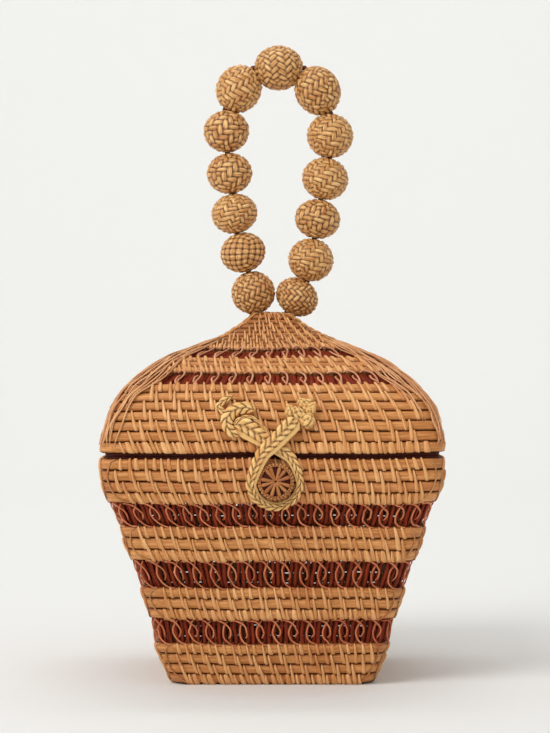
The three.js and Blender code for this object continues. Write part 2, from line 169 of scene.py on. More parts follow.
# Split rattan and straw. Fibres run along each strand, each strand has its own tone, and grooves are redder
# and darker, as painted shade with some stain.
# The last colour of each look is the painted shade of its grooves and gaps, with some stain.
strawLooks = {
    "cane": {
        "pale": (230, 164, 98), "deep": (178, 110, 52), "red": (168, 84, 38), "groove": (78, 24, 2),
        "fibre": (55.0, 9.0), "contrast": 0.75, "roughness": 0.42, "relief": 0.16, "blotch": 95.0,
    },
    "crown": {
        "pale": (206, 136, 78), "deep": (150, 86, 38), "red": (146, 68, 30), "groove": (70, 20, 2),
        "fibre": (55.0, 9.0), "contrast": 0.75, "roughness": 0.42, "relief": 0.16, "blotch": 95.0,
    },
    "strip": {
        "pale": (255, 204, 144), "deep": (206, 138, 74), "red": (190, 106, 56), "groove": (74, 24, 2),
        "fibre": (90.0, 6.0), "contrast": 0.6, "roughness": 0.4, "relief": 0.12, "blotch": 60.0,
    },
    "openwork": {
        "pale": (236, 154, 108), "deep": (176, 92, 54), "red": (180, 78, 44), "groove": (80, 24, 8),
        "fibre": (120.0, 4.0), "contrast": 0.6, "roughness": 0.42, "relief": 0.08, "blotch": 60.0,
    },
    "hook": {
        "pale": (240, 182, 142), "deep": (190, 120, 82), "red": (176, 92, 62), "groove": (80, 24, 10),
        "fibre": (120.0, 4.0), "contrast": 0.6, "roughness": 0.42, "relief": 0.08, "blotch": 60.0,
    },
    # Dark paint for the stakes, the seam rods and the button's backing: painted shade of the recesses where
    # they sit; on the stakes partly their own darker tone
    "stakeAndShade": {
        "pale": (160, 62, 30), "deep": (112, 34, 12), "red": (132, 40, 14), "groove": (52, 12, 3),
        "fibre": (80.0, 4.0), "contrast": 0.7, "roughness": 0.6, "relief": 0.1, "blotch": 60.0, "shine": 0.2,
    },
    "bead": {
        "pale": (255, 212, 146), "deep": (196, 130, 62), "red": (180, 96, 44), "groove": (62, 22, 1),
        "fibre": (110.0, 5.0), "contrast": 0.8, "roughness": 0.4, "relief": 0.12, "blotch": 70.0,
    },
    "braid": {
        "pale": (255, 222, 152), "deep": (230, 172, 98), "red": (212, 132, 68), "groove": (78, 36, 2),
        "fibre": (120.0, 6.0), "contrast": 0.7, "roughness": 0.46, "relief": 0.12, "blotch": 80.0,
    },
    "hip": {
        "pale": (246, 196, 142), "deep": (194, 130, 80), "red": (176, 100, 60), "groove": (84, 30, 12),
        "fibre": (60.0, 4.0), "contrast": 0.7, "roughness": 0.46, "relief": 0.1, "blotch": 40.0,
    },
    "cord": {
        "pale": (140, 78, 46), "deep": (84, 40, 22), "red": (92, 38, 20), "groove": (36, 14, 8),
        "fibre": (300.0, 9.0), "contrast": 0.8, "roughness": 0.75, "relief": 0.1, "blotch": 80.0,
    },
}


# What all of them share: how far blotches and single strands change the tone, what turns redder, and how dark
# the painted shade in grooves and gaps gets
strawHabit = {
    "blotch": 0.35, "spread": 0.3, "light": 0.8, "rough": 0.16, "darkest": 0.93, "curve": 1.4,
    "redStrands": 0.45, "redPatches": 0.35, "redGrooves": 0.35,
}


def strawPaint(name, look):
    habit = strawHabit
    paint = Paint(name)
    along, around, seed = paint.split(paint.attribute("strand", "Vector"))
    groove = paint.attribute("groove", "Fac")
    lengthwise, crosswise = look["fibre"]
    fibre = paint.noise(paint.join(along * lengthwise, around * crosswise, seed * 41.0), 1.0, 3.0, 0.62)
    blotch = paint.noise(paint.join(along * look["blotch"], seed * 23.0, around * 0.7), 1.0, 2.0)
    drift = paint.noise(paint.place(), 16.0, 2.0)
    own, tint = (seed * 91.7).fraction(), (seed * 37.3).fraction()
    light = fibre.between(0.3, 0.7) * look["contrast"] + blotch.between(0.25, 0.8) * habit["blotch"]
    light = (light + own * habit["spread"] - habit["spread"] / 2) * habit["light"]
    base = paint.blend(light.between(0.0, 1.0), colour(*look["deep"]), colour(*look["pale"]))
    redness = tint.between(0.55, 1.0) * habit["redStrands"] + drift.between(0.45, 0.75) * habit["redPatches"]
    # grooves turn redder: partly stain, partly painted shade
    redness = redness + groove * habit["redGrooves"]
    warm = paint.blend(redness.between(0.0, 1.3), base, colour(*look["red"]))
    # painted shade: deep points blend towards the dark groove colour
    shaded = paint.blend((groove ** habit["curve"]) * habit["darkest"], warm, colour(*look["groove"]))
    rough = fibre * habit["rough"] + (look["roughness"] - habit["rough"] / 2)
    normal = paint.bump(fibre, look["relief"] * mm)
    return paint.finish(shaded, rough, normal, Specular_IOR_Level=look.get("shine", 0.35))


paints = {name: strawPaint(name, look) for name, look in strawLooks.items()}
print("paints ready")


# Corner numbers of tubes numbered ring by ring, as quads and, on open tubes, their end caps
def tubeFaces(copies, rings, sides, closed):
    ring, side = np.meshgrid(np.arange(rings if closed else rings - 1), np.arange(sides), indexing="ij")
    nextRing, nextSide = (ring + 1) % rings, (side + 1) % sides
    ring, nextRing = ring * sides, nextRing * sides
    corners = [ring + side, ring + nextSide, nextRing + nextSide, nextRing + side]
    quads = np.stack(corners, -1).reshape(-1, 4)
    first = np.arange(copies)[:, None, None] * rings * sides
    faces = [(quads[None] + first).reshape(-1, 4)]
    if not closed:
        cap = np.arange(sides)
        ends = np.stack([cap[::-1], (rings - 1) * sides + cap])
        faces.append((ends[None] + first).reshape(-1, sides))
    return faces


def signedVolume(points, quads):
    a, b, c, d = (points[quads[:, corner]] for corner in range(4))
    return np.einsum("ij,ij->i", a, np.cross(b, c) + np.cross(c, d)).sum()


# Tubes and grids gathered into one mesh, with what their paint needs at each point
class Heap:
    def __init__(self):
        self.points, self.strand, self.groove, self.faces, self.paints = [], [], [], [], []
        self.count = 0

    def add(self, points, faces, strand, groove, paint=0, turn=None):
        flat = points.reshape(-1, 3)
        if turn is None:
            turn = signedVolume(flat - flat.mean(0), faces[0]) < 0
        for corners in faces:
            self.faces.append((corners[:, ::-1] if turn else corners) + self.count)
            self.paints.append(np.full(len(corners), paint))
        self.points.append(flat)
        self.strand.append(np.broadcast_to(strand, points.shape).reshape(-1, 3))
        self.groove.append(np.broadcast_to(groove, points.shape[:-1]).reshape(-1))
        self.count += len(flat)

    # Tubes given as copies x rings x sides x 3
    def addTubes(self, points, closed, strand, groove, paint=0):
        copies, rings, sides, _ = points.shape
        one = tubeFaces(1, rings, sides, closed)
        centred = points[0].reshape(-1, 3)
        turn = signedVolume(centred - centred.mean(0), one[0]) < 0
        self.add(points, tubeFaces(copies, rings, sides, closed), strand, groove, paint, turn)

    def mesh(self, name, paintNames):
        mesh = bpy.data.meshes.new(name)
        corners = [row for array in self.faces for row in array.tolist()]
        mesh.from_pydata(np.concatenate(self.points).tolist(), [], corners)
        for paintName in paintNames:
            mesh.materials.append(paints[paintName])
        mesh.polygons.foreach_set("material_index", np.concatenate(self.paints).astype(np.int32))
        mesh.polygons.foreach_set("use_smooth", np.ones(len(corners), bool))
        strand = mesh.attributes.new("strand", "FLOAT_VECTOR", "POINT")
        strand.data.foreach_set("vector", np.concatenate(self.strand).astype(np.float32).ravel())
        # per point: how far its colour is painted with recess shade, with some stain
        groove = mesh.attributes.new("groove", "FLOAT", "POINT")
        groove.data.foreach_set("value", np.concatenate(self.groove).astype(np.float32))
        mesh.update()
        return mesh


triangles = {}


# A finished piece: its mesh, the body that it rides on, its slot, which is not used, and the CAD nodes that
# it replaces
def addPiece(name, heap, paintNames, body, slotName, *replaced):
    mesh = heap.mesh(name, paintNames)
    piece = bpy.data.objects.new(name, mesh)
    bpy.context.scene.collection.objects.link(piece)
    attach(piece, body)
    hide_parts(*replaced)
    triangles[name] = sum(len(array) * (array.shape[1] - 2) for array in heap.faces)


# The wall. Each section runs from its foot to its top, as half width and height.
wall = {"corner": 9 * mm, "base": 54 * mm, "crown": 9.5 * mm, "thickness": 5 * mm, "lowest": 0.15 * mm}
wall["rim"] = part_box("lid_band_lower")[1].x
wall["bodyTop"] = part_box("body_band_1")[1].z
wall["lidFoot"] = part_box("lid_band_lower")[0].z
wall["crownTop"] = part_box("lid_crown")[1].z
# name, share of the height at its top, share of the width there, bulge as a share of its length
bodyTable = [
    ("body_band_4", 0.181, 0.242, 0.02),
    ("body_openwork_3", 0.287, 0.3, 0),
    ("body_band_3", 0.43, 0.442, 0.03),
    ("body_openwork_2", 0.545, 0.572, 0),
    ("body_band_2", 0.698, 0.731, 0.03),
    ("body_openwork_1", 0.795, 0.867, 0),
    ("body_band_1", 1, 0.985, 0.085),
]
lidTable = [
    ("lid_band_lower", 0.501, 0.806, 0.107),
    ("lid_openwork_lower", 0.578, 0.719, 0),
    ("lid_band_upper", 0.685, 0.55, 0.02),
    ("lid_openwork_upper", 0.75, 0.413, 0),
    ("lid_crown", 1, 0, -0.05),
]


def makeSections(table, bottom, height, start, wide, narrow):
    sections, foot = {}, (start, bottom)
    for name, top, width, bulge in table:
        end = (narrow + width * (wide - narrow), bottom + top * height)
        sections[name] = {"foot": foot, "top": end, "bulge": bulge}
        foot = end
    return sections


sections = makeSections(bodyTable, 0, wall["bodyTop"], wall["base"], wall["rim"], wall["base"])
lidHeight = wall["crownTop"] - wall["lidFoot"]
sections.update(makeSections(lidTable, wall["lidFoot"], lidHeight, wall["rim"], wall["rim"], wall["crown"]))
# The flat top and the floor are level sections, each with a hole in its middle too small to see
level = {
    "capDrop": 0.4 * mm, "capHole": 0.6 * mm,
    "floorLift": 0.9 * mm, "floorHole": 1.2 * mm, "floorTuck": 0.6 * mm,
}
capLevel = wall["crownTop"] - level["capDrop"]
floorReach = wall["base"] - wall["thickness"] + level["floorTuck"]
sections["cap"] = {"foot": (wall["crown"], capLevel), "top": (level["capHole"], capLevel), "bulge": 0}
sections["floor"] = {
    "foot": (level["floorHole"], level["floorLift"]), "top": (floorReach, level["floorLift"]), "bulge": 0}


def lengthOf(section):
    (w0, z0), (w1, z1) = section["foot"], section["top"]
    return math.hypot(w1 - w0, z1 - z0)


# A point of the wall: turn in quarters round the plan from the front's left corner, rise as a share up the
# section, and out from its surface. The section is a chord plus a parabola. The plan is a square with round
# corners.
def wallPoint(section, turn, rise, out):
    (w0, z0), (w1, z1) = section["foot"], section["top"]
    length = lengthOf(section)
    alongW, alongZ = (w1 - w0) / length, (z1 - z0) / length
    belly = 4 * section["bulge"] * length * rise * (1 - rise)
    slope = 4 * section["bulge"] * (1 - 2 * rise)
    size = np.sqrt(1 + slope ** 2)
    normalW, normalZ = (alongZ - alongW * slope) / size, (-alongW - alongZ * slope) / size
    width = w0 + (w1 - w0) * rise + alongZ * belly
    corner = np.minimum(wall["corner"], 0.92 * width)
    half = width + out * normalW
    height = z0 + (z1 - z0) * rise - alongW * belly + out * normalZ
    radius = np.maximum(corner + out * normalW, 1 * mm)
    straight, arc = 2 * (width - corner), math.pi / 2 * corner
    part = straight / (straight + arc)
    quarter = np.floor(turn)
    share = turn - quarter
    angle = np.clip((share - part) / (1 - part), 0, 1) * math.pi / 2
    across = np.where(share < part, 2 * share / part - 1, 1) * (half - radius) + radius * np.sin(angle)
    depth = -(half - radius) - radius * np.cos(angle)
    cosine, sine = np.cos(quarter * math.pi / 2), np.sin(quarter * math.pi / 2)
    x, y = across * cosine - depth * sine, across * sine + depth * cosine
    x, y, height = np.broadcast_arrays(x, y, height)
    return np.stack([x, y, height], -1)


# Half width at a rise, and the length of a quarter of the plan with the straight's share of it
def planOf(section, rise):
    (w0, _), (w1, _) = section["foot"], section["top"]
    width = w0 + (w1 - w0) * rise
    corner = np.minimum(wall["corner"], 0.92 * width)
    straight, arc = 2 * (width - corner), math.pi / 2 * corner
    return width, straight + arc, straight / (straight + arc)


def quarterLength(section, rise):
    return planOf(section, rise)[1]


# A point of one face of the wall: metres beside its middle, running on round the corners
def facePoint(section, face, beside, rise, out):
    _, quarter, part = planOf(section, rise)
    return wallPoint(section, face + part / 2 + beside / quarter, rise, out)


handBend = {"amount": 0.55 * mm, "fade": 12 * mm}


# Slow bends from working by hand: sines of place, fading out towards the floor
def handMade(points):
    x, y, z = points[..., 0], points[..., 1], points[..., 2]
    fade = np.clip(z / handBend["fade"], 0, 1) * handBend["amount"]
    bent = points.copy()
    bent[..., 2] += fade * (np.sin(67 * x + 31 * y + 40 * z) * 0.5 + np.sin(131 * x - 90 * y + 1.9) * 0.35)
    bent[..., 0] += fade * np.sin(83 * z + 60 * y + 0.6) * 0.5
    bent[..., 1] += fade * np.sin(83 * z - 60 * x + 2.2) * 0.5
    return bent


grooveDepth = {"start": 0.35 * mm, "run": 1.5 * mm}


# How deep a point lies between the outer and the inner face of the wall, from 0 to 1: its painted recess
# shade
def grooveOf(out):
    deep = np.minimum(-out, out + wall["thickness"])
    return np.clip((deep - grooveDepth["start"]) / grooveDepth["run"], 0, 1)


# A smooth line through points: a Catmull-Rom curve, steps points to each stretch
def smoothLine(points, steps):
    points = np.asarray(points, float)
    ends = np.concatenate([2 * points[:1] - points[1:2], points, 2 * points[-1:] - points[-2:-1]])
    share = np.linspace(0, 1, steps, endpoint=False)[:, None, None]
    a, b, c, d = ends[:-3], ends[1:-2], ends[2:-1], ends[3:]
    curve = 0.5 * (2 * b + (c - a) * share + (2 * a - 5 * b + 4 * c - d) * share ** 2
                   + (3 * b - a - 3 * c + d) * share ** 3)
    return np.concatenate([curve.transpose(1, 0, 2).reshape(-1, points.shape[1]), points[-1:]])


# A round or flat tube along paths (... x steps x 3). `up` is the way that its thickness points.
def tubeRings(path, up, wide, thick, sides):
    path = np.asarray(path, float)
    along = np.gradient(path, axis=-2)
    along /= np.linalg.norm(along, axis=-1, keepdims=True)
    across = np.cross(up, along)
    across /= np.linalg.norm(across, axis=-1, keepdims=True)
    rise = np.cross(along, across)
    angle = np.arange(sides) / sides * 2 * math.pi
    wide, thick = np.asarray(wide)[..., None, None], np.asarray(thick)[..., None, None]
    return (path[..., None, :] + across[..., None, :] * np.cos(angle)[:, None] * wide / 2
            + rise[..., None, :] * np.sin(angle)[:, None] * thick / 2)


# What a tube's paint needs: metres along the strand, around it from 0 to 1, and one random number a strand
def strandOf(path, sides, seeds):
    step = np.linalg.norm(np.diff(path, axis=-2), axis=-1)
    along = np.concatenate([np.zeros_like(step[..., :1]), np.cumsum(step, -1)], -1)
    around = np.arange(sides) / sides
    return np.stack(np.broadcast_arrays(along[..., None], around, seeds[..., None, None]), -1)


# A cane of the wall, a rod sunk in the seam between lid and basket and painted dark as the seam's shade, and
# the sides of a thin strand
strandSides = 6
rodLook = {"gap": 0.45 * mm, "depth": 4.3 * mm, "sink": 0.12 * mm, "square": 0.76, "sides": 16}
seamShadeLook = {"gap": 0.0, "depth": 1.8 * mm, "sink": 2.6 * mm, "square": 1.0, "sides": 8, "height": 3 * mm}


# One cane rod all the way round: a ring whose section is a squarish ellipse, painted with shade where it
# turns in towards the next rods
def addRod(heap, section, middle, height, look=rodLook, paint=0):
    perStraight, perCorner = 9, 6
    _, quarterRun, part = planOf(section, middle)
    quarter = np.concatenate([
        np.linspace(0, part, perStraight, endpoint=False), np.linspace(part, 1, perCorner, endpoint=False)])
    turn = (np.arange(4)[:, None] + quarter).reshape(-1, 1)
    angle = np.arange(look["sides"]) / look["sides"] * 2 * math.pi
    upDown = np.sign(np.cos(angle)) * np.abs(np.cos(angle)) ** look["square"]
    inOut = np.sign(np.sin(angle)) * np.abs(np.sin(angle)) ** look["square"]
    rise = middle + upDown * (height - look["gap"]) / 2 / lengthOf(section)
    out = -look["sink"] - look["depth"] / 2 * (1 - inOut)
    points = handMade(wallPoint(section, turn, rise[None, :], out[None, :]))
    strand = np.stack(np.broadcast_arrays(turn * quarterRun, angle[None, :] / math.pi, draw.random()), -1)
    heap.addTubes(points[None], True, strand[None], grooveOf(out)[None, None, :], paint)


# Paths of a strip over the rods: share of a rod's height down from its top edge, way out, and width, in
# millimetres. The long stitch starts narrow and raised, lies flat over the second rod and comes back inside.
longStitch = {
    "down": [0.0, 0.04, 0.18, 0.5, 0.82, 1.04, 1.25, 1.6, 1.88, 1.99, 1.95, 1.0, 0.05],
    "out": [-1.5, 0.2, 0.7, 0.85, 0.7, 0.42, 0.18, 0.06, -0.2, -1.6, -5.1, -5.0, -5.1],
    "width": [1.0, 1.25, 1.5, 1.65, 1.8, 2.0, 2.5, 2.8, 2.8, 2.6, 2.2, 2.2, 1.6],
}
edgeWrap = {
    "down": [0.02, 0.04, 0.25, 0.6, 0.92, 1.0, 0.98, 0.5, 0.04],
    "out": [-1.5, 0.0, 0.25, 0.25, 0.0, -1.5, -4.9, -5.1, -4.9],
    "width": [1.6, 2.0, 2.4, 2.8, 3.1, 3.0, 2.6, 2.4, 2.0],
}
startWrap = dict(edgeWrap, out=[-1.5, 0.3, 0.8, 0.6, 0.1, -1.5, -4.9, -5.1, -4.9],
                 width=[1.2, 1.4, 1.6, 2.0, 2.4, 2.4, 2.2, 2.0, 1.8])
stitchHabit = {
    "follow": 0.3, "stray": 0.3 * mm, "varyOut": 0.18, "varyLean": 0.14, "varyWidth": 0.09, "thick": 0.5 * mm,
    "across": [-0.5, -0.26, 0.26, 0.5], "lift": [-1.3, 0.5, 0.5, -1.3],
}


# Strips round one row, side by side on each face and clear of the corners. A strip's section is a flat box
# whose edges slope down to the rods. It leans to the right as it goes down and follows part of the wall's
# taper.
def addStrips(heap, section, top, height, stitch, pitch, phase, slant, wide, bare, paint=1):
    width = planOf(section, top)[0]
    reach = max(width - bare, 0.5 * pitch)
    first, last = math.ceil(-reach / pitch - phase), math.floor(reach / pitch - phase)
    beside = (np.arange(first, last + 1) + phase) * pitch
    face = np.repeat(np.arange(4.0), len(beside))[:, None, None]
    beside = np.tile(beside, 4)[:, None, None]
    count = len(beside)
    down = np.array(stitch["down"]) * height
    out = np.array(stitch["out"]) * mm
    size = np.array(stitch["width"]) * mm * wide
    stepDown, stepOut = np.roll(down, -1) - np.roll(down, 1), np.roll(out, -1) - np.roll(out, 1)
    step = np.hypot(stepDown, stepOut)
    length = np.cumsum(np.hypot(np.diff(down, prepend=down[0]), np.diff(out, prepend=out[0])))
    habit = stitchHabit
    across, lift = np.array(habit["across"]), np.array(habit["lift"]) * habit["thick"]
    vary = lambda amount: draw.normal(0, amount, count)[:, None, None]
    downward = (down[:, None] - (stepOut / step)[:, None] * lift)[None]
    outward = np.maximum(out, 0)[:, None] * (1 + vary(habit["varyOut"])) + np.minimum(out, 0)[:, None]
    outward = outward + (stepDown / step)[:, None] * lift
    rise = top - downward / lengthOf(section)
    taper = 1 + habit["follow"] * (planOf(section, rise)[0] / width - 1)
    lean = math.tan(math.radians(slant)) * (1 + vary(habit["varyLean"])) * down[:, None]
    sideways = lean + across * size[:, None] * (1 + vary(habit["varyWidth"])) + vary(habit["stray"])
    points = handMade(facePoint(section, face, beside * taper + sideways, rise, outward))
    strand = np.stack(np.broadcast_arrays(
        length[None, :, None], across[None, None, :] + 0.5, draw.random(count)[:, None, None]), -1)
    # painted shade where the strips dive between the rods
    heap.addTubes(points, True, strand, grooveOf(outward - 0.3 * mm), paint)


# A thin strand that bows round a band's corner: how far in from the corner, share up the band, and way out,
# in millimetres
cornerStrand = {
    "path": [(6.4, 0.97, -0.5), (3.8, 0.86, 0.1), (2.4, 0.64, 0.2), (2.7, 0.4, 0.2), (4.2, 0.18, 0.2),
             (7.0, 0.05, 0.1), (11.0, 0.0, -0.6)],
    "width": 0.85 * mm, "stray": (0.35, 0.02, 0.08),
}


def addCornerStrands(heap, section, high):
    place = np.array(cornerStrand["path"])
    lines = []
    for face in range(4):
        for side in (-1, 1):
            own = place + draw.normal(0, 1, place.shape) * cornerStrand["stray"]
            rise = own[:, 1] * high
            beside = side * (quarterLength(section, rise) / 2 - own[:, 0] * mm)
            points = facePoint(section, face, beside, rise, own[:, 2] * mm)
            lines.append(smoothLine(handMade(points), 3))
    lines = np.array(lines)
    up = np.broadcast_to([0, 0, 1.0], lines.shape)
    rings = tubeRings(lines, up, cornerStrand["width"], cornerStrand["width"], strandSides)
    heap.addTubes(rings, False, strandOf(lines, strandSides, draw.random(len(lines))), 0.5, 1)


# A band of canes bound by rows of long stitches, each row set on to the right of the one above it, with
# single wraps on its first and last rods. Pitch, bare corner and gap are in millimetres, edges are the widths
# of the wraps at top and foot, and the canes fill its height from the share low to the share high.
bandLooks = {
    "lid_band_lower": {"canes": 7, "pitch": 8.9, "phase": 0.0, "slant": 15, "edges": (1.15, 1.75),
                       "low": 0.026},
    "lid_band_upper": {"canes": 3, "pitch": 8.4, "phase": 0.3, "slant": 20, "edges": (1.0, 1.3), "bare": 5},
    "lid_crown": {"canes": 9, "pitch": 5.0, "phase": 0.1, "slant": 12, "edges": (0.55, 0.6), "wide": 0.62,
                  "bare": 2, "gap": 1.15},
    "body_band_1": {"canes": 4, "pitch": 8.4, "phase": 0.2, "slant": 12, "edges": (1.0, 1.3), "high": 0.957},
    "body_band_2": {"canes": 3, "pitch": 8.4, "phase": 0.6, "slant": 14, "edges": (0.9, 1.3)},
    "body_band_3": {"canes": 3, "pitch": 8.4, "phase": 0.1, "slant": 12, "edges": (0.9, 1.3)},
    "body_band_4": {"canes": 4, "pitch": 8.2, "phase": 0.4, "slant": 12, "edges": (0.9, 1.3)},
}
bandHabit = {"bare": 9.2, "rowShift": 0.39, "topWrap": 0.45, "footWrap": 0.4, "seam": 0.6}


def addBand(heap, section, look):
    rods, slant, pitch = look["canes"], look["slant"], look["pitch"] * mm
    bare, wide = look.get("bare", bandHabit["bare"]) * mm, look.get("wide", 1)
    low, high = look.get("low", 0), look.get("high", 1)
    height = lengthOf(section) * (high - low) / rods
    rod = dict(rodLook, gap=look["gap"] * mm) if "gap" in look else rodLook
    tops = high - (high - low) * np.arange(rods) / rods
    for top in tops:
        addRod(heap, section, top - height / 2 / lengthOf(section), height, rod)
    for row in range(rods - 1):
        phase = look["phase"] + row * bandHabit["rowShift"]
        addStrips(heap, section, tops[row], height, longStitch, pitch, phase, slant, wide, bare)
    wideTop, wideFoot = look["edges"]
    first, last = look["phase"] + bandHabit["topWrap"], look["phase"] + (rods - 1) * bandHabit["rowShift"]
    foot = last + bandHabit["footWrap"]
    addStrips(heap, section, tops[0], height, edgeWrap, pitch, first, slant, wideTop, bare)
    addStrips(heap, section, tops[-1], height, startWrap, pitch, last, slant, 1, bare)
    addStrips(heap, section, tops[-1], height, edgeWrap, pitch, foot, slant, wideFoot, bare)
    # a rod sunk in the seam, painted nearly black: painted shade of the seam
    if "low" in look:
        addRod(heap, section, low * bandHabit["seam"], seamShadeLook["height"], seamShadeLook, 2)
    if "high" in look:
        addRod(heap, section, (1 + high) / 2, seamShadeLook["height"], seamShadeLook, 2)


capLook = {"canes": 2, "pitch": 4.4, "phase": 0.0, "slant": 8, "edges": (0.7, 0.7), "wide": 0.7, "bare": 2}


def keepAboveFloor(heap):
    for points in heap.points:
        points[:, 2] = np.maximum(points[:, 2], wall["lowest"])


def makeBands():
    for name, look in bandLooks.items():
        heap = Heap()
        addBand(heap, sections[name], look)
        body = "lid" if "lid" in name else "basket"
        rodPaint = "crown" if name == "lid_crown" else "cane"
        if body == "basket":
            addCornerStrands(heap, sections[name], look.get("high", 1))
        if name == "lid_crown":
            addBand(heap, sections["cap"], capLook)
        if name == "body_band_4":
            keepAboveFloor(heap)
        addPiece(name + "_weave", heap, [rodPaint, "strip", "stakeAndShade"], body, "rattan_weave", name)
    print("bands woven")


makeBands()


floorLook = {"canes": 9, "pitch": 8.2, "phase": 0.0, "slant": 10, "edges": (0.8, 0.8), "bare": 4}


def makeFloor():
    heap = Heap()
    addBand(heap, sections["floor"], floorLook)
    keepAboveFloor(heap)
    addPiece("base_coil", heap, ["cane", "strip"], "basket", "rattan_weave", "base_panel")
    print("floor coiled")


makeFloor()


# Openwork of the body: stakes from band to band and, in each cell, two thin strands that curl before them.
# Points are beside the cell's middle and below the row's top edge, with the way out, in millimetres. Sink
# sets each strand back. Stakes have their place as a share of a cell and their way out.
curls = {
    "pitch": {"body_openwork_1": 8.5, "body_openwork_2": 9.3, "body_openwork_3": 8.9},
    "right": [(-7.0, 0.6, -0.8), (-5.0, -0.1, 0.3), (-2.8, 0.3, 0.8), (-0.7, 1.7, 0.9), (1.1, 3.7, 0.9),
              (1.9, 5.9, 0.8), (1.6, 7.9, 0.3), (0.7, 9.4, -0.6)],
    "left": [(0.4, 0.4, -1.2), (-0.7, 1.9, -0.4), (-1.8, 3.9, 0.3), (-2.2, 6.3, 0.7), (-1.6, 8.9, 0.9),
             (0.1, 11.1, 0.9), (2.3, 12.5, 0.8), (5.0, 13.2, 0.3)],
    "sink": {"right": 1.2, "left": 1.0}, "height": 12.6, "width": 0.95, "stray": 0.17,
    "stakes": [(-0.46, -3.0), (-0.16, -4.0), (0.24, -4.4)], "stakeWidth": 2.1, "stakeStray": 0.4,
}
# Openwork of the lid: an arc that comes off the band above and a short one beside its foot, before stakes
hooks = {
    "pitch": {"lid_openwork_lower": 9.0, "lid_openwork_upper": 8.7},
    "long": [(-4.6, 0.1, -0.6), (-2.7, -0.2, 0.5), (-0.7, 0.5, 1.0), (0.8, 2.0, 1.2), (1.2, 3.9, 1.1),
             (0.7, 5.6, 0.9), (0.3, 7.0, -0.3)],
    "short": [(-0.5, 2.4, -0.1), (-1.4, 3.4, 0.6), (-1.4, 4.8, 0.9), (-0.5, 6.0, 0.9), (0.7, 7.0, 0.1)],
    "sink": {"long": 0.7, "short": 0.7}, "height": 6.6, "width": 1.05, "stray": 0.14,
    "stakes": [(-0.46, -3.0), (-0.2, -3.5), (0.05, -3.9), (0.3, -3.3)], "stakeWidth": 2.6, "stakeStray": 0.3,
}
stakeTuck = 1.5 * mm


# Tubes along one path of beside, down and out, each with its own jitter, which is less outwards, then laid
# onto the wall
def wanderingTubes(heap, section, middle, path, stray, wide, paint):
    own = path[None] + draw.normal(0, 1, (len(middle), len(path), 3)) * np.array([1, 1, 0.4]) * stray
    lines = np.stack([smoothLine(one, 3) for one in own])
    rings = tubeRings(lines, np.array([0, 0, 1.0]), wide, wide * 0.8, strandSides)
    rise = 1 - rings[..., 1] / lengthOf(section)
    turn = middle[:, None, None] + rings[..., 0] / quarterLength(section, 0.5)
    points = handMade(wallPoint(section, turn, rise, rings[..., 2]))
    heap.addTubes(points, False, strandOf(lines, strandSides, draw.random(len(middle))), 0.0, paint)


def makeOpenwork(look, strandPaint, ending, body):
    for name, pitch in look["pitch"].items():
        section, heap = sections[name], Heap()
        length = lengthOf(section)
        cells = round(quarterLength(section, 0.5) / (pitch * mm))
        middle = (np.arange(4 * cells) + 0.5) / cells
        stretch = np.array([1, length / mm / look["height"], 1]) * mm
        for strand, sink in look["sink"].items():
            path = (np.array(look[strand]) - (0, 0, sink)) * stretch
            wanderingTubes(heap, section, middle, path, look["stray"] * mm, look["width"] * mm, 0)
        down = np.linspace(-stakeTuck, length + stakeTuck, 4)
        stray, wide = look["stakeStray"] * mm, look["stakeWidth"] * mm
        # the stakes take the dark paint: partly their own tone, partly painted shade of the recess behind the
        # strands
        for shift, out in look["stakes"]:
            path = np.stack([down * 0, down, down * 0 + out * mm], -1)
            wanderingTubes(heap, section, middle + shift / cells, path, stray, wide, 1)
        sides = [f"{name}_{side}" for side in ("front", "right", "back", "left")]
        addPiece(f"{name}_{ending}", heap, [strandPaint, "stakeAndShade"], body, "rattan_openwork", *sides)
    print(f"{body} openwork set")


makeOpenwork(curls, "openwork", "curls", "basket")
makeOpenwork(hooks, "hook", "hooks", "lid")


# One strand along a line with a tone of its own
def addStrand(heap, line, up, wide, thick, sides):
    rings = tubeRings(line, up, wide, thick, sides)
    heap.addTubes(rings[None], False, strandOf(line, sides, np.array(draw.random()))[None], 0.0)


# Strands over each hip of the lid, close together at the crown and fanned out towards the rim:
# section, share up it, and half the bundle's width in millimetres
hips = {
    "route": [("lid_crown", 0.3, 2.6), ("lid_crown", 0.05, 5.6), ("lid_openwork_upper", 0.5, 7.6),
              ("lid_band_upper", 0.9, 8.6), ("lid_band_upper", 0.35, 10.5), ("lid_openwork_lower", 0.5, 13.5),
              ("lid_band_lower", 0.95, 12), ("lid_band_lower", 0.8, 8.4), ("lid_band_lower", 0.6, 7.2),
              ("lid_band_lower", 0.4, 6.8), ("lid_band_lower", 0.24, 6.5), ("lid_band_lower", 0.12, 6.6)],
    "strands": 15, "width": 1.0, "out": 0.6, "arch": 0.9, "stray": 0.8, "strayOut": 0.25,
    "tip": 0.35, "cut": 6,
}


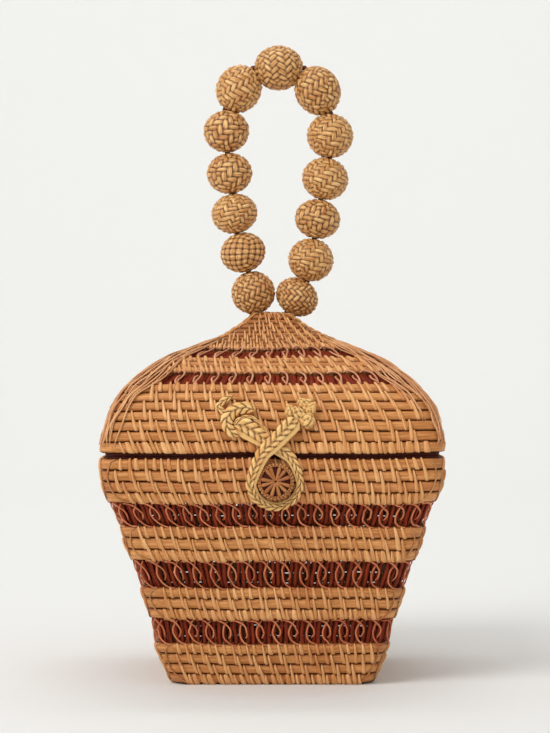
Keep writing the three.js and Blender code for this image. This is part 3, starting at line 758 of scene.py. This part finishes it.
def makeHips():
    for corner in range(4):
        heap = Heap()
        for strand in range(hips["strands"]):
            share = (strand + 0.5) / hips["strands"] * 2 - 1
            line = []
            # all but the middle strands end early, by up to half of the route
            stop = len(hips["route"]) - int(draw.integers(0, hips["cut"]) * (abs(share) > 0.3))
            for name, rise, spread in hips["route"][:stop]:
                section = sections[name]
                quarter = quarterLength(section, rise)
                bend = math.pi / 2 * wall["corner"] / quarter
                across = (share * spread + draw.normal(0, hips["stray"])) * mm
                out = (hips["out"] + hips["arch"] * (1 - abs(share)) + draw.normal(0, hips["strayOut"])) * mm
                quarterTurn = (corner + 1) - bend / 2 + across / quarter
                line.append(wallPoint(section, np.array(quarterTurn), np.array(rise), np.array(out)))
            line = smoothLine(handMade(np.array(line)), 3)
            outward = line * (1, 1, 0)
            outward /= np.linalg.norm(outward, axis=-1, keepdims=True)
            outward[:, 2] = 0.6
            steps = np.arange(len(line))
            wide = hips["width"] * mm * np.clip(np.minimum(steps, steps[::-1]) / 2, hips["tip"], 1)
            addStrand(heap, line, outward, wide, 0.8 * wide, strandSides)
        number = corner + 1
        addPiece(f"hip_strands_{number}", heap, ["hip"], "lid", "rattan_strand", f"hip_binding_{number}")
    print("hips bound")


makeHips()

# Plaited beads. The string's turns are beside the middle and above the crown, in millimetres. Each bead fills
# the string between two turns, and its width across is a share of the bead size.
string = {
    "turns": [(-8, 0), (-13.5, 23.5), (-19.5, 45), (-23, 67), (-25, 90), (-26.5, 114), (-11, 137.5),
              (18, 137.5), (32.5, 112), (32, 87), (27, 64), (23.5, 42), (19.5, 18.2), (8, 0.6)],
    "across": [0.95, 0.99, 0.99, 0.99, 0.99, 0.97, 0.97, 0.98, 1, 1, 0.99, 0.98, 0.95],
    "size": 25.8, "crowd": 1.4, "gap": 0.1, "mouth": 0.05, "cord": 3, "knot": 8, "twist": 9, "plies": 3,
}
stringTurns = np.array([(x, 0, up) for x, up in string["turns"]]) * mm + (0, 0, wall["crownTop"])
# Each weave's strips and cells a strip on a sixth of the bead, and what all of them share
plait = {
    "t": (7, 5), "w": (6, 6), "r": (7, 5), "p": (5, 7),
    "relief": 1.7, "wave": 0.36, "rib": 0.14, "cell": 3.3,
}
# Each bead's weave and how far it leans from the string, in degrees
beadKinds = [("t", 28), ("p", 18), ("r", -4), ("w", 6), ("w", 2), ("r", -8), ("t", 38), ("t", 42), ("r", 4),
             ("r", 0), ("w", 4), ("r", -3), ("t", 14)]


# Directions of a sphere from a cube's six faces, each with a grid of cells; shared points are merged
def cubeSphere(cells):
    line = np.tan(np.linspace(-1, 1, cells + 1) * math.pi / 4)
    u, v = np.meshgrid(line, line, indexing="ij")
    one = np.ones_like(u)
    sides = [(one, u, v), (-one, -u, v), (-u, one, v), (u, -one, v), (-v, u, one), (v, u, -one)]
    directions = np.concatenate([np.stack(side, -1).reshape(-1, 3) for side in sides])
    directions /= np.linalg.norm(directions, axis=-1, keepdims=True)
    index = np.arange(cells + 1)
    grid = np.stack(np.meshgrid(index, index, indexing="ij"), -1).reshape(-1, 2)
    places = np.concatenate([np.column_stack([grid, np.full(len(grid), side)]) for side in range(6)])
    i, j = np.meshgrid(np.arange(cells), np.arange(cells), indexing="ij")
    start = i * (cells + 1) + j
    quads = np.stack([start, start + cells + 1, start + cells + 2, start + 1], -1).reshape(-1, 4)
    quads = np.concatenate([quads + side * (cells + 1) ** 2 for side in range(6)])
    _, first, same = np.unique(np.round(directions, 6), axis=0, return_index=True, return_inverse=True)
    return directions[first], places[first], same.reshape(-1)[quads]


# Two sets of strips crossing: a twill (t) goes over two and under two, a wide twill (w) has broader strips, a
# ribbed one (r) shows more of one set, and a plain weave (p) goes over one. Each strip's height is a cosine
# along it plus a crowned profile across it, and the higher of the two shows.
def plaitHeight(places, kind, cells):
    u, v, side = (places[:, column] for column in range(3))
    u, v = u / cells, v / cells
    i, j = np.floor(u + 1e-6), np.floor(v + 1e-6)
    crown = lambda across: 0.5 * (1 - np.abs(2 * across - 1) ** 4)
    if kind == "p":
        warp, weft = np.cos(math.pi * (v - i - 0.5)), -np.cos(math.pi * (u - j - 0.5))
    else:
        warp, weft = np.cos(math.pi / 2 * (v - i - 1)), np.cos(math.pi / 2 * (u - j + 2))
    warp, weft = plait["wave"] * warp + crown(u - i), plait["wave"] * weft + crown(v - j)
    if kind == "r":
        weft = weft + plait["rib"]
    above = warp > weft
    height = np.maximum(warp, weft)
    seed = np.where(above, i * 0.137 + side * 0.31, j * 0.171 + side * 0.23 + 0.5) % 1
    strand = np.stack([np.where(above, v, u) * plait["cell"] * mm, np.where(above, u - i, v - j), seed], -1)
    return height, strand


# The plait's third direction along the string, its second towards the back, leaning by an angle and turned a
# little about the string
def turnAlong(axis, lean):
    side = np.cross([0, 1.0, 0], axis)
    frameOf = np.stack([side, [0, 1.0, 0], axis], 1)
    cosine, sine = math.cos(lean), math.sin(lean)
    tilt = np.array([[cosine, 0, sine], [0, 1, 0], [-sine, 0, cosine]])
    spin = draw.normal(0, 0.25)
    cosine, sine = math.cos(spin), math.sin(spin)
    return frameOf @ tilt @ np.array([[cosine, -sine, 0], [sine, cosine, 0], [0, 0, 1]])


def makeBeads():
    legs = np.diff(stringTurns, axis=0)
    lengths = np.linalg.norm(legs, axis=1)
    axes = legs / lengths[:, None]
    bends = 1 - np.concatenate([[1], np.einsum("ij,ij->i", axes[1:], axes[:-1]), [1]])
    for number, (kind, lean) in enumerate(beadKinds):
        strips, cells = plait[kind]
        directions, places, quads = cubeSphere(strips * cells)
        height, strand = plaitHeight(places, kind, cells)
        axis = axes[number]
        turned = directions @ turnAlong(axis, math.radians(lean)).T
        # a dent at each mouth, and flatter ends where the string bends
        mouth = 1 - string["mouth"] * np.exp(-((1 - np.abs(turned @ axis)) / 0.014) ** 2)
        across = string["size"] * mm * string["across"][number]
        crowd = string["crowd"] * (bends[number] + bends[number + 1])
        along = lengths[number] - (string["gap"] + crowd) * mm
        radius = (across / 2 + (height - 0.75) * plait["relief"] * mm) * mouth
        points = turned * radius[:, None]
        points = points - np.outer(points @ axis, axis) * (1 - along / across)
        points = points + (stringTurns[number] + stringTurns[number + 1]) / 2
        heap = Heap()
        # painted shade in the gaps between the plaited strips
        heap.add(points, [quads], strand + (0, 0, number * 0.07), np.clip((0.77 - height) / 0.36, 0, 1))
        node = f"bead_{number + 1:02d}"
        addPiece(f"plaited_{node}", heap, ["bead"], "lid", "rattan_bead", node)
    print("beads plaited")


makeBeads()


def makeHandleCord():
    under = wall["crownTop"] - wall["thickness"] - (0.3 + string["knot"] / 2) * mm
    first, last = (end * (1, 1, 0) + (0, 0, under) for end in (stringTurns[:1], stringTurns[-1:]))
    line = np.concatenate([first, stringTurns, last])
    share = np.linspace(0, 1, 12, endpoint=False)[None, :, None]
    line = np.concatenate([(line[:-1, None] + np.diff(line, axis=0)[:, None] * share).reshape(-1, 3), last])
    sides = 12
    step = np.concatenate([[0], np.cumsum(np.linalg.norm(np.diff(line, axis=0), axis=-1))])
    angle = np.arange(sides) / sides * 2 * math.pi
    turned = angle[None] - step[:, None] / (string["twist"] * mm) * 2 * math.pi
    ridge = 1 + 0.1 * np.cos(string["plies"] * turned)
    rings = tubeRings(line, np.array([0, 1.0, 0]), string["cord"] * mm, string["cord"] * mm, sides)
    rings = line[:, None] + (rings - line[:, None]) * ridge[..., None]
    heap = Heap()
    strand = strandOf(line, sides, np.array(0.4))
    # painted shade in the valleys of the twist
    heap.addTubes(rings[None], False, strand[None], np.clip(1 - ridge, 0, 1)[None] * 4)
    directions, places, quads = cubeSphere(12)
    for end in (first, last):
        swirl = 1 + 0.08 * np.cos(6 * np.arctan2(directions[:, 1], directions[:, 0]) + 9 * directions[:, 2])
        ball = directions * swirl[:, None] * string["knot"] / 2 * mm + end
        strand = np.stack([directions[:, 2] * 8 * mm, directions[:, 0], np.full(len(ball), 0.7)], -1)
        # painted shade in the valleys of the knot's swirl
        heap.add(ball, [quads], strand, np.clip(1 - swirl, 0, 1) * 4)
    addPiece("twisted_cord", heap, ["cord"], "lid", "handle_cord", "handle_cord")
    print("cord twisted")


makeHandleCord()

# Looped cord closure. Its points are beside the button's middle and above the rim, in millimetres, with the
# share that it is lifted over its other arm, and its width. It runs down the over arm, round the button and
# up the under arm, which ends in a broad paddle with a hook curled over it.
closure = {
    "over": [(10.8, 18.8, 1, 8.8), (6.8, 14.4, 1, 8.8), (4.6, 12.2, 1, 8.6), (-1, 6.3, 1, 8.0),
             (-7, 0.2, 1, 7.2)],
    "under": [(8.6, -2.6, 0, 5.2), (3.0, 2.4, 0, 6.2), (-4.6, 6.9, 0, 7.4), (-11.5, 11.6, 0, 9.4),
              (-17.0, 14.8, 0, 9.8), (-21.5, 15.6, 0, 6.5)],
    "hook": [(-19.5, 10.6, 0.1, 3.4), (-23.6, 13.2, 0.3, 4.8), (-25.4, 18.4, 0.35, 5.8),
             (-21.9, 23.4, 0.4, 6.0), (-15.6, 25.0, 0.4, 5.6), (-10.8, 23.6, 0.2, 4.6)],
    "rim": [(-22.0, 16.6, 0.5, 1.2), (-19.2, 19.2, 0.62, 1.3), (-14.8, 20.6, 0.62, 1.3),
            (-10.4, 19.0, 0.6, 1.3), (-6.6, 15.2, 0.6, 1.3), (-3.0, 11.2, 0.4, 1.2)],
    "tail": [(-24.0, 21.5, 0.0, 2.6), (-28.2, 23.6, 0.1, 2.8), (-29.8, 25.8, 0.2, 2.8),
             (-26.8, 28.6, 0.2, 3.0), (-22.8, 31.0, 0.0, 2.4)],
    "ends": {"hook": 2.6, "tail": 1.8, "rim": 1.2},
    "offset": 1.7, "drop": 13, "sag": 0.9, "clearance": 0.7, "band": 4.6, "thickness": 2.8, "gap": 0.3,
    "turns": 9, "start": 0.97, "sweep": 1.06, "loopWidth": 5.4, "narrowing": 1.6,
    "plait": 4.1, "relief": 1.3, "flange": 0.45, "sides": 36, "steps": 26,
}
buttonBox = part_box("closure_button")
buttonRadius = (buttonBox[1].x - buttonBox[0].x) / 2


# Half width of the outside at a height
def halfWidthAt(height):
    samples = []
    for name, section in sections.items():
        if name not in ("cap", "floor"):
            rise = np.linspace(0, 1, 25)
            points = wallPoint(section, np.array(0.3), rise, np.zeros(25))
            samples.append(np.stack([points[:, 2], -points[:, 1]], -1))
    samples = np.concatenate(samples)
    samples = samples[np.argsort(samples[:, 0], kind="stable")]
    return np.interp(height, samples[:, 0], samples[:, 1])


# The closure's whole line: the over arm, an arc round the foot of the button, and the under arm
def closureLine():
    rows = list(closure["over"])
    radius = buttonRadius / mm + closure["clearance"] + closure["band"] / 2
    for turn in range(closure["turns"]):
        share = turn / (closure["turns"] - 1)
        angle = math.pi * (closure["start"] + closure["sweep"] * share)
        up = radius * math.sin(angle) - closure["drop"] - closure["sag"]
        wide = closure["loopWidth"] - closure["narrowing"] * math.sin(share * math.pi / 2)
        rows.append((radius * math.cos(angle), up, max(0, 1 - turn / 3), wide))
    rows += closure["under"]
    return smoothLine(np.array(rows, float), closure["steps"])


# A flat braid along a line: diagonal strips in two columns that meet down its middle, each rising as a power
# of its place across, beside a plain edge strip where flange is less than 1
def addBraid(heap, line, flange, thickness):
    height = wall["bodyTop"] + line[:, 1] * mm
    reach = closure["band"] / 2 * mm
    seat = np.max([halfWidthAt(height), halfWidthAt(height - reach), halfWidthAt(height + reach)], axis=0)
    thick = thickness * mm
    lift = np.clip(line[:, 2], 0, 1) * (closure["thickness"] + 0.6) * mm
    forward = -seat - closure["gap"] * mm - thick / 2 - lift
    for _ in range(6):
        forward[1:-1] = np.convolve(forward, [0.25, 0.5, 0.25], "valid")
    path = np.stack([(closure["offset"] + line[:, 0]) * mm, forward, height], -1)
    along = np.gradient(path, axis=0)
    along /= np.linalg.norm(along, axis=-1, keepdims=True)
    out = np.tile([0, -1.0, 0], (len(path), 1))
    across = np.cross(along, out)
    across /= np.linalg.norm(across, axis=-1, keepdims=True)
    out = np.cross(across, along)
    step = np.concatenate([[0], np.cumsum(np.linalg.norm(np.diff(path, axis=0), axis=-1))])
    angle = np.arange(closure["sides"]) / closure["sides"] * 2 * math.pi
    # the section: from -1 to 1 across and from back to front, a little squarer than an ellipse
    place = np.sign(np.cos(angle)) * np.abs(np.cos(angle)) ** 0.85
    front = np.sign(np.sin(angle)) * np.abs(np.sin(angle)) ** 0.75
    ends = np.minimum(step, step[-1] - step)[:, None] / (3 * mm)
    wide = line[:, 3:4] * mm * (0.4 + 0.6 * np.sin(np.clip(ends, 0, 1) * math.pi / 2))
    edge = np.clip((-place - flange) / 0.12, 0, 1)
    column = (place + flange) / (1 + flange) * 2 - 1
    phase = step[:, None] / (closure["plait"] * mm) + 0.75 * np.abs(column) + 0.5 * (column > 0)
    part = phase - np.floor(phase)
    strip = (1 - np.abs(2 * part - 1) ** 3) * (1 - 0.6 * np.exp(-(column / 0.16) ** 2))
    strip = strip * np.ones_like(wide)
    deep = closure["relief"] * mm * np.clip(thickness / closure["thickness"], 0.3, 1)
    relief = deep * (strip * (1 - edge) + 0.55 * edge - 0.45)
    side = (np.abs(place) ** 4) * relief * 0.7 * (1 - edge)
    points = (path[:, None] + across[:, None] * (place * wide / 2 + np.sign(place) * side)[..., None]
              + out[:, None] * (front * thick / 2 + np.clip(front, 0, 1) * relief)[..., None])
    seed = (np.floor(phase) * 0.173 + 0.4 * (column > 0)) % 1 * (1 - edge) + 0.35 * edge
    strand = np.stack(np.broadcast_arrays(part * 3 * mm, column * 0.5 + 0.5, seed), -1)
    # painted shade in the gaps between the plaited strips, and a dark line of painted shade where the flange
    # meets them
    groove = np.clip(0.92 - strip, 0, 1) * 1.35 * (1 - edge)
    groove = groove + 0.6 * np.exp(-((place + flange) / 0.1) ** 2) * (flange < 1)
    heap.addTubes(points[None], False, strand[None], np.clip(groove, 0, 1)[None])


def makeClosure():
    heap = Heap()
    addBraid(heap, closureLine(), closure["flange"], closure["thickness"])
    for name, thickness in closure["ends"].items():
        addBraid(heap, smoothLine(np.array(closure[name], float), closure["steps"]), 1, thickness)
    addPiece("braided_loop", heap, ["braid"], "lid", "braided_cord", "closure_loop")
    print("closure braided")


makeClosure()


# The knot, tied at the over arm's end: plaited lumps beside and above its middle, their width, height and
# turn in degrees, and loose ends
knot = {
    "lumps": [(-5.6, 1.2, 5.6, 7.4, 12), (-0.8, -0.6, 6.4, 10.4, -32), (3.4, -3.2, 7.6, 8.2, 8),
              (1.6, 4.6, 6.2, 8.6, -38), (5.2, 2.4, 5.2, 6.8, 28)],
    "ends": [((2.5, 3.5), (5.6, 5.6), (7.6, 5.4)), ((4.5, 0.5), (6.8, 3.2), (7.4, 6.4)),
             ((-4.5, 2.5), (-6.6, 4.6), (-7.6, 4.4)), ((0.5, 6.0), (3.0, 7.2), (5.4, 7.0))],
    "depth": 5.6, "relief": 1.3, "strips": 2, "cells": 8, "end": 1.5, "endOut": 3.4,
}


def randomTurn():
    turn, _ = np.linalg.qr(draw.normal(0, 1, (3, 3)))
    return turn * np.sign(np.linalg.det(turn))


def makeKnot():
    low, high = (np.array(corner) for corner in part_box("closure_knot"))
    middle = (low + high) / 2
    heap = Heap()
    directions, places, quads = cubeSphere(knot["strips"] * knot["cells"])
    for number, (x, up, wide, tall, turn) in enumerate(knot["lumps"]):
        height, strand = plaitHeight(places + (0, number, 0), "p" if number % 2 else "t", knot["cells"])
        turned = directions @ randomTurn().T
        size = np.array([wide / 2, knot["depth"] / 2 - 0.4 * (number % 2), tall / 2]) * mm
        points = turned * (size + (height[:, None] - 0.7) * knot["relief"] * mm)
        cosine, sine = math.cos(math.radians(turn)), math.sin(math.radians(turn))
        points = points @ np.array([[cosine, 0, -sine], [0, 1, 0], [sine, 0, cosine]])
        z = middle[2] + up * mm
        points = points + (middle[0] + x * mm, -halfWidthAt(z) - (closure["gap"] + knot["depth"] / 2) * mm, z)
        # painted shade in the gaps between the plaited strips
        heap.add(points, [quads], strand + (0, 0, number * 0.19), np.clip((0.78 - height) / 0.5, 0, 1))
    for end in knot["ends"]:
        flat = smoothLine(np.array(end), 6) * mm + middle[[0, 2]]
        line = np.stack([flat[:, 0], -halfWidthAt(flat[:, 1]) - knot["endOut"] * mm, flat[:, 1]], -1)
        addStrand(heap, line, np.array([0, -1.0, 0]), knot["end"] * mm, knot["end"] * 0.7 * mm, strandSides)
    addPiece("braided_knot", heap, ["braid"], "lid", "braided_cord", "closure_knot")
    print("knot tied")


makeKnot()

# The button: a disc painted nearly black as the shade between the strips wound over it from its middle, and
# two strands round its edge
wheel = {
    "spokes": 12, "from": 0.7, "to": 7.6, "narrow": 0.8, "wide": 2.2, "least": 1.4, "thick": 1.5,
    "rings": (8.1, 8.9), "ring": 1.15, "ripple": 0.22,
    # share of the radius and of the depth, from the front's middle round to the back's
    "backing": [(0.02, 0.78), (0.5, 0.76), (0.86, 0.7), (0.97, 0.6), (1.0, 0.45), (0.97, 0.32), (0.6, 0.31),
                (0.59, 0.15), (0.58, 0.0)],
}


def makeButton():
    low, high = (np.array(corner) for corner in buttonBox)
    centre, depth = (low + high) / 2, high[1] - low[1]
    heap = Heap()
    angle = np.arange(48) / 48 * 2 * math.pi
    share, reach = np.array(wheel["backing"]).T[..., None]
    radius = share * buttonRadius
    disc = np.stack(np.broadcast_arrays(centre[0] + radius * np.sin(angle), high[1] - reach * depth,
                                        centre[2] + radius * np.cos(angle)), -1)
    strand = np.stack(np.broadcast_arrays(radius, angle / math.pi, 0.5), -1)
    # painted shade: the backing is painted almost wholly in the dark groove colour
    heap.addTubes(disc[None], False, strand[None], 0.9, 1)
    turn = (np.arange(wheel["spokes"]) + 0.5)[:, None] / wheel["spokes"] * 2 * math.pi
    turn = turn + draw.normal(0, 0.07, turn.shape)
    share = np.linspace(0, 1, 12)
    radius = (wheel["from"] + (wheel["to"] - wheel["from"]) * share) * mm
    front = low[1] + 0.9 * mm - np.sin(share * math.pi) ** 0.6 * 0.5 * mm
    line = np.stack(np.broadcast_arrays(
        centre[0] + radius * np.sin(turn), front, centre[2] + radius * np.cos(turn)), -1)
    wide = (wheel["narrow"] + (wheel["wide"] - wheel["narrow"]) * share ** 0.7) * mm
    wide = np.maximum(wide, wheel["least"] * mm)
    wide[-1] = wheel["least"] * mm
    rings = tubeRings(line, np.array([0, -1.0, 0]), wide, wheel["thick"] * mm, 8)
    # the strips take a darker, redder tone all along
    heap.addTubes(rings, False, strandOf(line, 8, draw.random(wheel["spokes"])), 0.42, 0)
    for number, radius in enumerate(wheel["rings"]):
        angle = np.arange(120) / 120 * 2 * math.pi
        ripple = np.sin(angle * (34 - 4 * number)) * wheel["ripple"] * mm
        reach, front = radius * mm + ripple, low[1] + (0.85 + 0.35 * number) * mm + ripple
        line = np.stack([centre[0] + reach * np.sin(angle), front, centre[2] + reach * np.cos(angle)], -1)
        around = np.arange(7) / 7 * 2 * math.pi
        spread = wheel["ring"] / 2 * mm * np.stack([np.cos(around), np.sin(around)], -1)
        outward = np.stack([np.sin(angle), angle * 0, np.cos(angle)], -1)[:, None]
        points = line[:, None] + outward * spread[None, :, :1] + np.array([0, 1.0, 0]) * spread[None, :, 1:]
        strand = np.stack(np.broadcast_arrays(angle[:, None] * radius * mm, around / 6, 0.3 * number), -1)
        # painted shade in the ripples' troughs, on a darker, redder tone
        groove = np.clip(0.4 - ripple[:, None] / (0.4 * mm), 0, 1)
        heap.addTubes(points[None], True, strand[None], groove[None], 0)
    addPiece("wheel_button", heap, ["cane", "stakeAndShade"], "basket", "rattan_weave", "closure_button")
    print("button wound")


makeButton()

# Hinge at the back: a cane pin held by strips wound round it, whose ends lie against the wall. Wound is how
# far a strip goes round the pin, in half turns.
hinge = {"strips": 5, "thick": 1.1, "wound": 1.62, "shorter": 0.06}


def makeHinge():
    pinLow, pinHigh = (np.array(corner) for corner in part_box("hinge_pin"))
    middle = (pinLow + pinHigh) / 2
    pinRadius = (pinHigh[2] - pinLow[2]) / 2
    steps = 60
    line = np.tile(middle, (steps, 1))
    line[:, 0] = np.linspace(pinLow[0], pinHigh[0], steps)
    size = 2 * pinRadius * (1 + 0.025 * np.sin(np.arange(steps) * 0.9))
    size[[0, -1]] *= 0.8
    heap = Heap()
    rings = tubeRings(line, np.array([0, 0, 1.0]), size, size, 12)
    heap.addTubes(rings[None], False, strandOf(line, 12, np.array(0.2))[None], 0.0)
    addPiece("cane_pin", heap, ["cane"], "basket", "rattan_strand", "hinge_pin")
    for owner, way in (("body", -1), ("lid", 1)):
        for side in ("left", "right"):
            name = f"{owner}_hinge_{side}"
            low, high = (np.array(corner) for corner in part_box(name))
            outer = (high[1] - low[1]) / 2
            ring = outer - hinge["thick"] / 2 * mm
            tail = (high[2] - low[2]) - 2 * outer
            angle = math.pi * (1.0 - hinge["wound"] * np.linspace(0, 1.0, 26))
            loop = np.stack([np.cos(angle) * -ring, np.sin(angle) * -way * ring], -1)
            foot = np.array([[-ring, way * (outer + tail * share)] for share in np.linspace(0.99, -0.4, 8)])
            course = np.concatenate([foot, loop])
            heap = Heap()
            width = (high[0] - low[0]) / hinge["strips"]
            for strip in range(hinge["strips"]):
                x = low[0] + width * (strip + 0.5)
                short = 1 - hinge["shorter"] * draw.random()
                up = np.where(np.abs(course[:, 1]) > outer, course[:, 1] * short, course[:, 1])
                path = np.stack([np.full(len(course), x), middle[1] + course[:, 0], middle[2] + up], -1)
                away = path - (x, middle[1], middle[2])
                away[: len(foot)] = (0, -1, 0)
                addStrand(heap, path, away, width * 0.96, hinge["thick"] * mm, 8)
            addPiece(f"{owner}_lashing_{side}", heap, ["strip"], "basket" if owner == "body" else "lid",
                     "rattan_weave", name)
    print("hinge lashed")


makeHinge()

# Pale floor that rises into a round backdrop in one sweep, and soft studio light
bpy.context.scene.view_settings.view_transform = "Standard"
studio = {
    "floor": 1.5, "sweep": 2.1, "height": 3.4, "pale": (235, 235, 233),
    "key": {"place": (-1.25, -1.5, 1.75), "size": 1.25, "power": 32, "aim": (0, 0, 0.16)},
    "fill": {"place": (1.7, -1.6, 0.9), "size": 2.4, "power": 2.6, "aim": (0, 0, 0.16)},
    "top": {"place": (0.1, 0.2, 2.4), "size": 2.2, "power": 5, "aim": (0, 0, 0.1)},
    "wall": {"place": (0, 1.2, 3.0), "size": 2.5, "power": 34, "aim": (0, 3.6, 1.1)},
    "world": (1.0, 0.995, 0.98, 1.0), "worldStrength": 0.54,
}


# The backdrop is a profile from the middle out and up, carried round +Z
def makeStudio():
    angle = np.linspace(0, math.pi / 2, 20)
    sweep, around = studio["sweep"], 96
    radius = np.concatenate([[0.01, 0.9], studio["floor"] + sweep * np.sin(angle), [studio["floor"] + sweep]])
    z = np.concatenate([[0, 0], sweep - sweep * np.cos(angle), [studio["height"]]])
    turn = np.arange(around) / around * 2 * math.pi
    points = np.stack(np.broadcast_arrays(
        radius[:, None] * np.cos(turn), radius[:, None] * np.sin(turn), z[:, None]), -1).reshape(-1, 3)
    quads, caps = tubeFaces(1, len(radius), around, False)
    mesh = bpy.data.meshes.new("backdrop")
    mesh.from_pydata(points.tolist(), [], quads.tolist() + caps[:1].tolist())
    mesh.polygons.foreach_set("use_smooth", np.ones(len(quads) + 1, bool))
    paint = Paint("backdrop")
    mesh.materials.append(paint.finish(colour(*studio["pale"]), 0.85, None, Specular_IOR_Level=0.1))
    backdrop = bpy.data.objects.new("backdrop", mesh)
    bpy.context.scene.collection.objects.link(backdrop)
    for name in ("key", "fill", "top", "wall"):
        data = bpy.data.lights.new(name, "AREA")
        data.energy, data.size, data.shape = studio[name]["power"], studio[name]["size"], "DISK"
        lamp = bpy.data.objects.new(name, data)
        bpy.context.scene.collection.objects.link(lamp)
        place = np.array(studio[name]["place"])
        lamp.location = place
        x, y, z = np.array(studio[name]["aim"]) - place
        lamp.rotation_euler = (math.atan2(math.hypot(x, y), -z), 0, math.atan2(-x, y))
    world = bpy.data.worlds.new("studio")
    bpy.context.scene.world = world
    world.use_nodes = True
    world.node_tree.nodes["Background"].inputs["Color"].default_value = studio["world"]
    world.node_tree.nodes["Background"].inputs["Strength"].default_value = studio["worldStrength"]
    print("studio lit")


makeStudio()

for name, count in sorted(triangles.items(), key=lambda row: -row[1])[:6]:
    print(f"{name}: {count} triangles")
print(f"{sum(triangles.values())} triangles in all")
